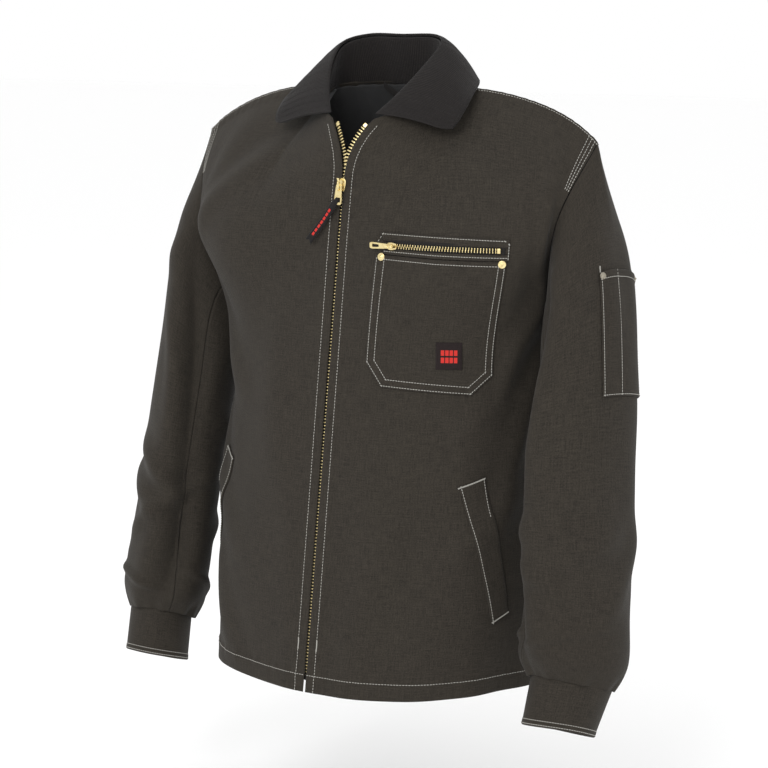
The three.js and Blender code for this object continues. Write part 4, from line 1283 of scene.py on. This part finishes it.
def banded(name, ground, mark, bars, threads=1100.0):
    """Woven tape with plain coloured bars. Each bar is (left, right, low, high, pitch, share)."""
    material = woven(name, tuple(c * 0.5 for c in ground), ground, threads=threads, bump=0.6)
    tree = material.node_tree
    shader = tree.nodes["Principled BSDF"]
    cloth_colour = shader.inputs["Base Color"].links[0].from_socket
    cut = node(tree, "ShaderNodeUVMap", uv_map="cut").outputs[0]
    parted = node(tree, "ShaderNodeSeparateXYZ", {0: cut})
    u, w = parted.outputs[0], parted.outputs[1]
    total = None
    for left, right, low, high, pitch, share in bars:
        mask = times(tree, maths(tree, "GREATER_THAN", u, left), maths(tree, "LESS_THAN", u, right))
        mask = times(tree, mask, maths(tree, "GREATER_THAN", w, low))
        mask = times(tree, mask, maths(tree, "LESS_THAN", w, high))
        long_way = w if high - low > right - left else u
        step = maths(tree, "FRACT", times(tree, plus(tree, long_way, 0.1), 1 / pitch))
        mask = times(tree, mask, maths(tree, "LESS_THAN", step, share))
        total = mask if total is None else maths(tree, "MAXIMUM", total, mask)
    shade = colour_mix(tree, total, cloth_colour, (*mark, 1))
    tree.links.new(shade, shader.inputs["Base Color"])
    return material


THREAD_RED = (0.50, 0.028, 0.022)
strap_weave = banded("strap_weave", (0.012, 0.011, 0.011), THREAD_RED,
                     [(0.0031, 0.0059, 0.014, 0.050, 0.0052, 0.74)])
piece = sheet("puller_strap_woven", strap_line, full_span(-0.5, 0.5), (0, 1), strap_weave, step=1.0,
              thick=1.8)
stands_for(piece, "puller_strap", "strap", "puller_strap")
del piece["flat"]

STOP_V = np.array([4.962, 4.982])  # the top stop's middle, and a place above it on the chain
stop_outline = mirrored([(2.2, -2.2), (2.2, 2.4)], 0.8)
block = mirrored([(1.7, -4.5), (1.7, 4.5)], 0.7)
for name, side in SIDES:
    p, n = on_cloth(coat(side), beside_zip(zip_root(STOP_V) - 2.2, STOP_V), STOP_V, CHAIN_LIFT, side)
    out_way = Vector(n[0]).normalized()
    up_way = Vector(p[1] - p[0]).normalized()
    place = placed(up_way.cross(out_way), up_way, out_way, Vector(p[0]) * 0.001)
    piece = plate(f"zip_stop_{name}_brass", [stop_outline], -1.7, 1.7, 0.5, place, brass)
    stands_for(piece, "jacket", "brass", f"zip_top_stop_{name}")
    end_node = "zip_box" if side > 0 else "zip_pin"
    low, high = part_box(end_node)
    place = placed(zip_across, -zip_down, zip_out, (low + high) / 2)
    # The box and pin take the brass darkened as painted shade, standing in for the shade in the slit.
    piece = plate(f"{end_node}_brass", [block], -1.6, 0.6, 0.4, place, brass_painted_shade)
    stands_for(piece, "jacket", "brass", end_node)


# ---- Chest pocket --------------------------------------------------------------------------------
# A duck patch with cut lower corners under a zipped mouth: two narrow panels frame a short brass
# zip, rivets hold the corners, two rows of grey stitches run round, and a woven badge is sewn low.
PATCH_LIFT, PATCH_THICK = 2.2, 2.0
ZIP_ROW = 3.853


def patch_surface(surface, rows):
    """A patch on a surface. rows are (share up, v left, v right, s left, s right), bottom first."""
    table = np.array(rows, float)

    def on(a, b):
        vl, vr, sl, sr = (np.interp(b, table[:, 0], table[:, k]) for k in range(1, 5))
        return surface(sl + (sr - sl) * a, vl + (vr - vl) * a)

    return on


def patch(name, surface, rows, relief=None, out=1, lift=PATCH_LIFT):
    return sheet(name, patch_surface(surface, rows), full_span(0, 1), (0, 1), duck, lift=lift,
                 thick=PATCH_THICK, out=out, relief=relief)


chest = coat(1)
POCKET_ROWS = [(0, 2.595, 2.555, 0.216, 0.556), (0.145, 2.79, 2.72, 0.152, 0.642),
               (1, 3.762, 3.762, 0.144, 0.608)]


def pocket_fullness(u, w):
    full = 0.9 * np.exp(-(((u - 68) / 45) ** 2) - ((w - 60) / 42) ** 2)
    return full + 0.25 * np.sin(u / 17) * np.sin(w / 23)


pocket = patch("chest_pocket_duck", chest, POCKET_ROWS, pocket_fullness)
on_jacket(pocket, "duck", "chest_pocket")
TOP_PANEL = [(0, 3.886, 3.884, 0.163, 0.609), (1, 3.962, 3.95, 0.153, 0.604)]
LOW_PANEL = [(0, 3.768, 3.768, 0.168, 0.609), (1, 3.821, 3.822, 0.168, 0.611)]
for label, rows in (("top", TOP_PANEL), ("bottom", LOW_PANEL)):
    piece = patch(f"chest_zip_{label}_duck", chest, rows, lift=PATCH_LIFT + 0.3)
    stands_for(piece, "jacket", "duck", f"chest_zip_panel_{label}")
    del piece["flat"]


def inset(corners, mm):
    """An open outline of (s, v) moved inwards, on its left, by mm."""
    scale = np.array([HALF_GIRTH, ROW_HEIGHT])
    p = np.array(corners, float) * scale
    ways = np.diff(p, axis=0)
    ways /= np.linalg.norm(ways, axis=1, keepdims=True)
    inward = np.stack([-ways[:, 1], ways[:, 0]], -1) * mm
    made = [p[0] + inward[0]]
    for k in range(1, len(p) - 1):
        both = inward[k - 1] + inward[k]
        made.append(p[k] + both * mm * mm / np.dot(both, inward[k]))
    made.append(p[-1] + inward[-1])
    return np.array(made) / scale


def row_through(surface, corners, spacing=2.0, **where):
    """A row of stitches along straight lines on the cloth, as one path for each line."""
    paths = []
    for a, b in zip(corners[:-1], corners[1:]):
        long = math.hypot((b[0] - a[0]) * HALF_GIRTH, (b[1] - a[1]) * ROW_HEIGHT)
        paths.append(bar(surface, a, b, max(3, round(long / spacing)), **where))
    return paths


POCKET_EDGE = [(0.144, 3.725), (0.152, 2.79), (0.216, 2.595), (0.556, 2.555), (0.642, 2.72), (0.608, 3.72)]
ZIP_PANEL_EDGE = [(0.150, 3.885), (0.162, 3.948), (0.585, 3.935), (0.606, 3.91), (0.611, 3.79)]
ON_POCKET, ON_ZIP_PANEL = PATCH_LIFT + 0.35, PATCH_LIFT + 0.45
pocket_rows = []
for corners, height in (
    (inset(POCKET_EDGE, 1.8), ON_POCKET), (inset(POCKET_EDGE, 8.4), ON_POCKET),
    ([(0.176, 3.795), (0.602, 3.797)], ON_ZIP_PANEL), ([(0.178, 3.722), (0.575, 3.722)], ON_POCKET),
    (ZIP_PANEL_EDGE, ON_ZIP_PANEL),
):
    pocket_rows += row_through(chest, corners, lift=height)
stands_for(stitched("chest_pocket_topstitching", pocket_rows, 6, FINE_PITCH), "jacket", "thread")

CHEST_PIVOT = np.array(joints["chest_zip_slide"]["pos_m"]) * 1000
arc_middle = body(np.array(0.38), np.array(ZIP_ROW), np.array(False))
ARC = math.hypot(*(arc_middle[:2] - CHEST_PIVOT[:2]))


def arc_turn(s):
    p = body(np.array(s), np.array(ZIP_ROW), np.array(False))
    return math.atan2(p[0] - CHEST_PIVOT[0], CHEST_PIVOT[1] - p[1])


ARC_START, ARC_END = arc_turn(0.2), arc_turn(0.565)


def arc_frame(turn, depth=0.0):
    """The frame on the chest zip's arc: along it, up, and out of the chest."""
    along = Vector((math.cos(turn), math.sin(turn), 0))
    out = Vector((math.sin(turn), -math.cos(turn), 0))
    centre = Vector(CHEST_PIVOT) + out * (ARC + depth)
    return placed(along, Vector((0, 0, 1)), out, centre * 0.001)


def arc_sheet(s, t):
    """The zip tape's surface: s runs along the arc from 0 to 1, t up the tape in millimetres."""
    turn = ARC_START + (ARC_END - ARC_START) * s
    x, y, z = CHEST_PIVOT
    return point(x + ARC * np.sin(turn), y - ARC * np.cos(turn), z + t)


piece = sheet("chest_zip_tape_weave", arc_sheet, full_span(-0.06, 1.05), (-6.5, 6.5), zip_tape, step=2.0,
              lift=1.4, thick=0.8)
on_jacket(piece, "tape", "chest_zip_tape")
small_tooth = small_shape("small_zip_tooth", *tooth(-1.0, 2.2, 1.05, 1.5))
SMALL_PITCH = 3.3
arc_long = (ARC_END - ARC_START) * ARC
chest_teeth = []
for up in (1, -1):
    shift = 0 if up > 0 else SMALL_PITCH / 2
    s = np.linspace((6.5 + shift) / arc_long, 1 - 3.4 / arc_long, 60)
    p, n = on_cloth(arc_sheet, s, np.full(60, 1.7 * up), lift=2.5)
    chest_teeth.append((p[::-up], n[::-up]))
piece = set_along("chest_zip_teeth", chest_teeth, small_tooth, SMALL_PITCH, brass)
stands_for(piece, "jacket", "brass", "chest_zip_chain")
piece = plate("chest_zip_stop_brass", [mirrored([(1.8, -2.8), (1.8, 2.8)], 0.6)], 1.6, 4.0, 0.5,
              arc_frame(ARC_END), brass)
stands_for(piece, "jacket", "brass", "chest_zip_stop")
lying = arc_frame(ARC_START) @ Matrix(((0, 1, 0, 0), (-1, 0, 0, 0), (0, 0, 1, 0), (0, 0, 0, 1)))
piece = zip_slider("chest_slider_brass", lying, 8.2, 12.5, -6.0, 9.2, 3.4, None, brass)
stands_for(piece, "chest_slider", "brass", "chest_zip_slider")
chest_pull_place = arc_frame(ARC_START, 6.6)
outline = rounded([(1.6, -2.3), (1.6, 2.3), (-24.5, 3.7), (-28, 3.0), (-28, -3.0), (-24.5, -3.7)], 1.4)
window = rounded([(-0.2, 1.2), (-0.2, -1.2), (-4.2, -1.4), (-4.2, 1.4)], 0.5)
slot = rounded([(-15.5, 1.3), (-15.5, -1.3), (-24.5, -1.8), (-24.5, 1.8)], 0.8)
piece = plate("chest_pull_brass", [outline, window, slot], -0.7, 0.7, 0.25, chest_pull_place, brass)
stands_for(piece, "chest_pull", "brass", "chest_zip_pull")


def rivet(name, surface, s, v, lift, material, radius=4.5, out=1, steps=(1e-3, 1e-3)):
    """A rivet cap: a rolled rim round a shallow dome with a nipple, turned on a lathe."""
    profile = [(0.96, 0.1), (1, 0.45), (0.97, 0.95), (0.86, 1.25), (0.7, 1.15), (0.6, 1.2), (0.4, 1.65),
               (0.27, 1.8), (0.22, 2.3), (0.1, 2.55)]  # share of the radius, height
    count = 36
    points, faces = [(0, 0, 0.1)], []
    for share, z in profile:
        for k in range(count):
            a = 2 * math.pi * k / count
            points.append((radius * share * math.cos(a), radius * share * math.sin(a), z))
    points.append((0, 0, 2.6))
    rings = len(profile)
    for k in range(count):
        n = (k + 1) % count
        faces.append((0, 1 + n, 1 + k))
        faces += [(1 + j * count + k, 1 + j * count + n, 1 + (j + 1) * count + n, 1 + (j + 1) * count + k)
                  for j in range(rings - 1)]
        faces.append((1 + (rings - 1) * count + k, 1 + (rings - 1) * count + n, len(points) - 1))
    p, n = on_cloth(surface, np.array([s]), np.array([v]), lift, out, steps)
    turn = Vector((0, 0, 1)).rotation_difference(Vector(n[0])).to_matrix()
    placed_points = [Vector(p[0]) + turn @ Vector(q) for q in points]
    return cloth_mesh(name, placed_points, faces, None, material, 50)


for label, s in (("inner", 0.166), ("outer", 0.588)):
    piece = rivet(f"chest_rivet_{label}_cap", chest, s, 3.742, PATCH_LIFT, brass)
    stands_for(piece, "jacket", "brass", f"chest_rivet_{label}")

badge_mount = next(m for m in frame["record"]["mounts"] if m["name"] == "badge_face")
BADGE_WIDE, BADGE_HIGH = 29.0, 30.0
badge_out = Vector(badge_mount["axis"]).normalized()
badge_side = Vector((-badge_out.y, badge_out.x, 0)).normalized()
badge_up = badge_out.cross(badge_side)
badge_centre = np.array(badge_mount["pos_m"]) * 1000


def badge_face(s, t):
    """The badge's face: s across and t up, from 0 to 1, a little crowned."""
    crown = -0.35 * ((2 * s - 1) ** 4 + (2 * t - 1) ** 4)
    axes = zip(np.array(badge_side), np.array(badge_up), np.array(badge_out), badge_centre)
    return np.stack([c + x * (s - 0.5) * BADGE_WIDE + y * (t - 0.5) * BADGE_HIGH + z * crown
                     for x, y, z, c in axes], -1)


badge_weave = banded("badge_weave", (0.017, 0.0105, 0.0105), THREAD_RED, [
    (0.0050, 0.0240, 0.0155, 0.0215, 0.0048, 0.78), (0.0050, 0.0240, 0.0075, 0.0135, 0.0048, 0.78)])
piece = sheet("chest_badge_woven", badge_face, full_span(0, 1), (0, 1), badge_weave, step=1.5, thick=1.6)
on_jacket(piece, "badge", "chest_badge")


# ---- Hand pockets --------------------------------------------------------------------------------
# A slanted welt of folded duck lies over each pocket mouth. It is stitched along its front edge
# and tacked down at both ends; its rear edge is left open for the hand.
WELT_ROWS = [(0, 0.622, 0.700, 0.684, 0.758), (1, 1.808, 1.886, 0.526, 0.629)]
(_, low_l, low_r, s_low_l, s_low_r), (_, top_l, top_r, s_top_l, s_top_r) = WELT_ROWS


def open_edge(u, w):
    return 1.1 * smooth((u - 12) / 14) * np.sin(np.pi * np.clip(w / 148, 0, 1)) ** 0.7


for name, side in SIDES:
    front = coat(side)
    welt = patch(f"hand_pocket_welt_{name}", front, WELT_ROWS, open_edge, side)
    on_jacket(welt, "duck", f"pocket_welt_{name}")
    on_welt = {"lift": PATCH_LIFT + 0.3, "out": side}
    rows = row_through(front, [(s_top_l + 0.007, top_l), (s_low_l + 0.007, low_l + 0.01)], **on_welt)
    rows += row_through(front, [(s_top_r - 0.006, top_r - 0.02), (s_top_r + 0.022, top_r - 0.33)],
                        lift=PATCH_LIFT + 0.9, out=side)
    stands_for(stitched(f"hand_pocket_stitching_{name}", rows, 7, FINE_PITCH), "jacket", "thread")
    tacks = [bar(front, (s_top_l - 0.004, top_l - 0.012), (s_top_r, top_r - 0.012), 9, **on_welt),
             bar(front, (s_low_l, low_l + 0.012), (s_low_r, low_r + 0.012), 9, **on_welt)]
    stands_for(tacked(f"hand_pocket_bartacks_{name}", tacks, 8), "jacket", "thread")


# ---- Pen pocket ----------------------------------------------------------------------------------
# A two-slot duck patch on the left upper sleeve, with a stitched divider and antique brass rivets.
PEN_FRONT, PEN_REAR, PEN_TOP, PEN_BOTTOM = 29.0, -38.0, 1.14, 2.14
PEN_DIVIDER = 5.5
antique_brass = metal("antique_brass", (0.36, 0.33, 0.27), (0.16, 0.14, 0.11), 0.3)
sleeve_left = arm(1)


def pen_fullness(u, w):
    bulge = 0.8 * np.abs(np.sin(np.pi * np.clip(u / 34, 0, 2))) * np.sin(np.pi * np.clip(w / 95, 0, 1))
    return bulge + 0.9 * (1 - smooth(w / 12))


piece = sheet("pen_pocket_duck", sleeve_left, full_span(PEN_REAR, PEN_FRONT), (PEN_TOP, PEN_BOTTOM), duck,
              lift=PATCH_LIFT, thick=PATCH_THICK, relief=pen_fullness, steps=SLEEVE_STEPS)
cut_cloth(piece)
bends(piece, "left", "duck", "pen_pocket")
edge_w = np.linspace(PEN_TOP + 0.01, PEN_BOTTOM - 0.016, 40)
edge_turn = np.linspace(PEN_REAR + 1.6, PEN_FRONT - 1.6, 30)
on_pen = {"lift": PATCH_LIFT + 0.5, "steps": SLEEVE_STEPS}
pen_rows = [on_cloth(sleeve_left, turn, edge_w, **on_pen)
            for turn in (PEN_FRONT - 1.7, PEN_DIVIDER, PEN_REAR + 1.7)]
pen_rows += [on_cloth(sleeve_left, edge_turn, w, **on_pen) for w in (PEN_TOP + 0.06, PEN_BOTTOM - 0.016)]
bends(stitched("pen_pocket_stitching", pen_rows, 9, FINE_PITCH), "left", "thread")
pen_tacks = [bar(sleeve_left, (turn, PEN_TOP - 0.055), (turn, PEN_TOP + 0.01), 9, lift=0.5,
                 steps=SLEEVE_STEPS) for turn in (PEN_FRONT - 1.5, PEN_REAR + 3)]
bends(tacked("pen_pocket_bartacks", pen_tacks, 10), "left", "thread")
for label, turn in (("front", PEN_FRONT - 3), ("rear", PEN_REAR + 7)):
    piece = rivet(f"pen_rivet_{label}_cap", sleeve_left, turn, PEN_TOP + 0.035, PATCH_LIFT, antique_brass,
                  radius=3.9, steps=SLEEVE_STEPS)
    bends(piece, "left", "antique_brass", f"pen_rivet_{label}")


# ---- Hang loop -----------------------------------------------------------------------------------
# A bow of narrow woven tape, caught into the back neck seam at both ends.
loop_low, loop_high = (corner * 1000 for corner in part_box("hang_loop"))
LOOP_WIDE = 7.0


def loop_bow(s, t):
    x = loop_low.x + (loop_high.x - loop_low.x) * s
    sag = (loop_high.z - loop_low.z - LOOP_WIDE) * 4 * s * (1 - s)
    return point(x, loop_low.y + 0.2 * np.sin(9 * s), loop_high.z - sag - LOOP_WIDE * (1 - t))


piece = sheet("hang_loop_tape", loop_bow, full_span(0, 1), (0, 1), zip_tape, step=1.5, thick=1.2)
stands_for(piece, "jacket", "tape", "hang_loop")
del piece["flat"]


# ---- Floor, light and camera ---------------------------------------------------------------------
# A plain pale studio: a floor below the hem, white surroundings, and three soft lamps.
FLOOR_BELOW, FLOOR_REACH = 0.16, 18.0
LAMP_TARGET = Vector((0, 0, -0.28))


def studio_white():
    material, _, shader = new_material("studio_floor")
    shader.inputs["Base Color"].default_value = (0.99, 0.99, 0.99, 1)
    shader.inputs["Roughness"].default_value = 0.9
    return material


def lamp(name, place, size, power):
    data = bpy.data.lights.new(name, "AREA")
    data.shape, data.size, data.energy = "DISK", size, power
    made = shown(name, data)
    made.location = place
    made.rotation_euler = (LAMP_TARGET - Vector(place)).to_track_quat("-Z", "Y").to_euler()


floor_mesh = bpy.data.meshes.new("floor")
corners = [(x * FLOOR_REACH, y * FLOOR_REACH, cad_low.z - FLOOR_BELOW)
           for x, y in ((-1, -1), (1, -1), (1, 1), (-1, 1))]
floor_mesh.from_pydata(corners, [], [(0, 1, 2, 3)])
floor_mesh.materials.append(studio_white())
floor = shown("floor", floor_mesh)

lamp("key", (0.6, -3.0, 1.5), 1.6, 46)
lamp("fill", (2.6, -1.4, 0.8), 2.2, 8)
lamp("rim", (0.4, 2.4, 1.8), 1.6, 8)
world = bpy.data.worlds.new("white_room")
world.use_nodes = True
world.node_tree.nodes["Background"].inputs[0].default_value = (1, 1, 1, 1)
world.node_tree.nodes["Background"].inputs[1].default_value = 1.0
bpy.context.scene.world = world
bpy.context.scene.view_settings.view_transform = "Standard"

CAMERA_TURN, CAMERA_RISE, CAMERA_FAR = 34.0, 9.0, 2.9
CAMERA_LENS = 117.19
LOOK_AT = Vector((-0.009, -0.008, -0.288))
azimuth, rise = math.radians(CAMERA_TURN), math.radians(CAMERA_RISE)
away = Vector((math.sin(azimuth) * math.cos(rise), -math.cos(azimuth) * math.cos(rise), math.sin(rise)))
camera = shown("camera", bpy.data.cameras.new("camera"))
camera.data.lens = CAMERA_LENS
camera.data.clip_end = 40
camera.location = LOOK_AT + away * CAMERA_FAR
camera.rotation_euler = (-away).to_track_quat("-Z", "Y").to_euler()
bpy.context.scene.camera = camera
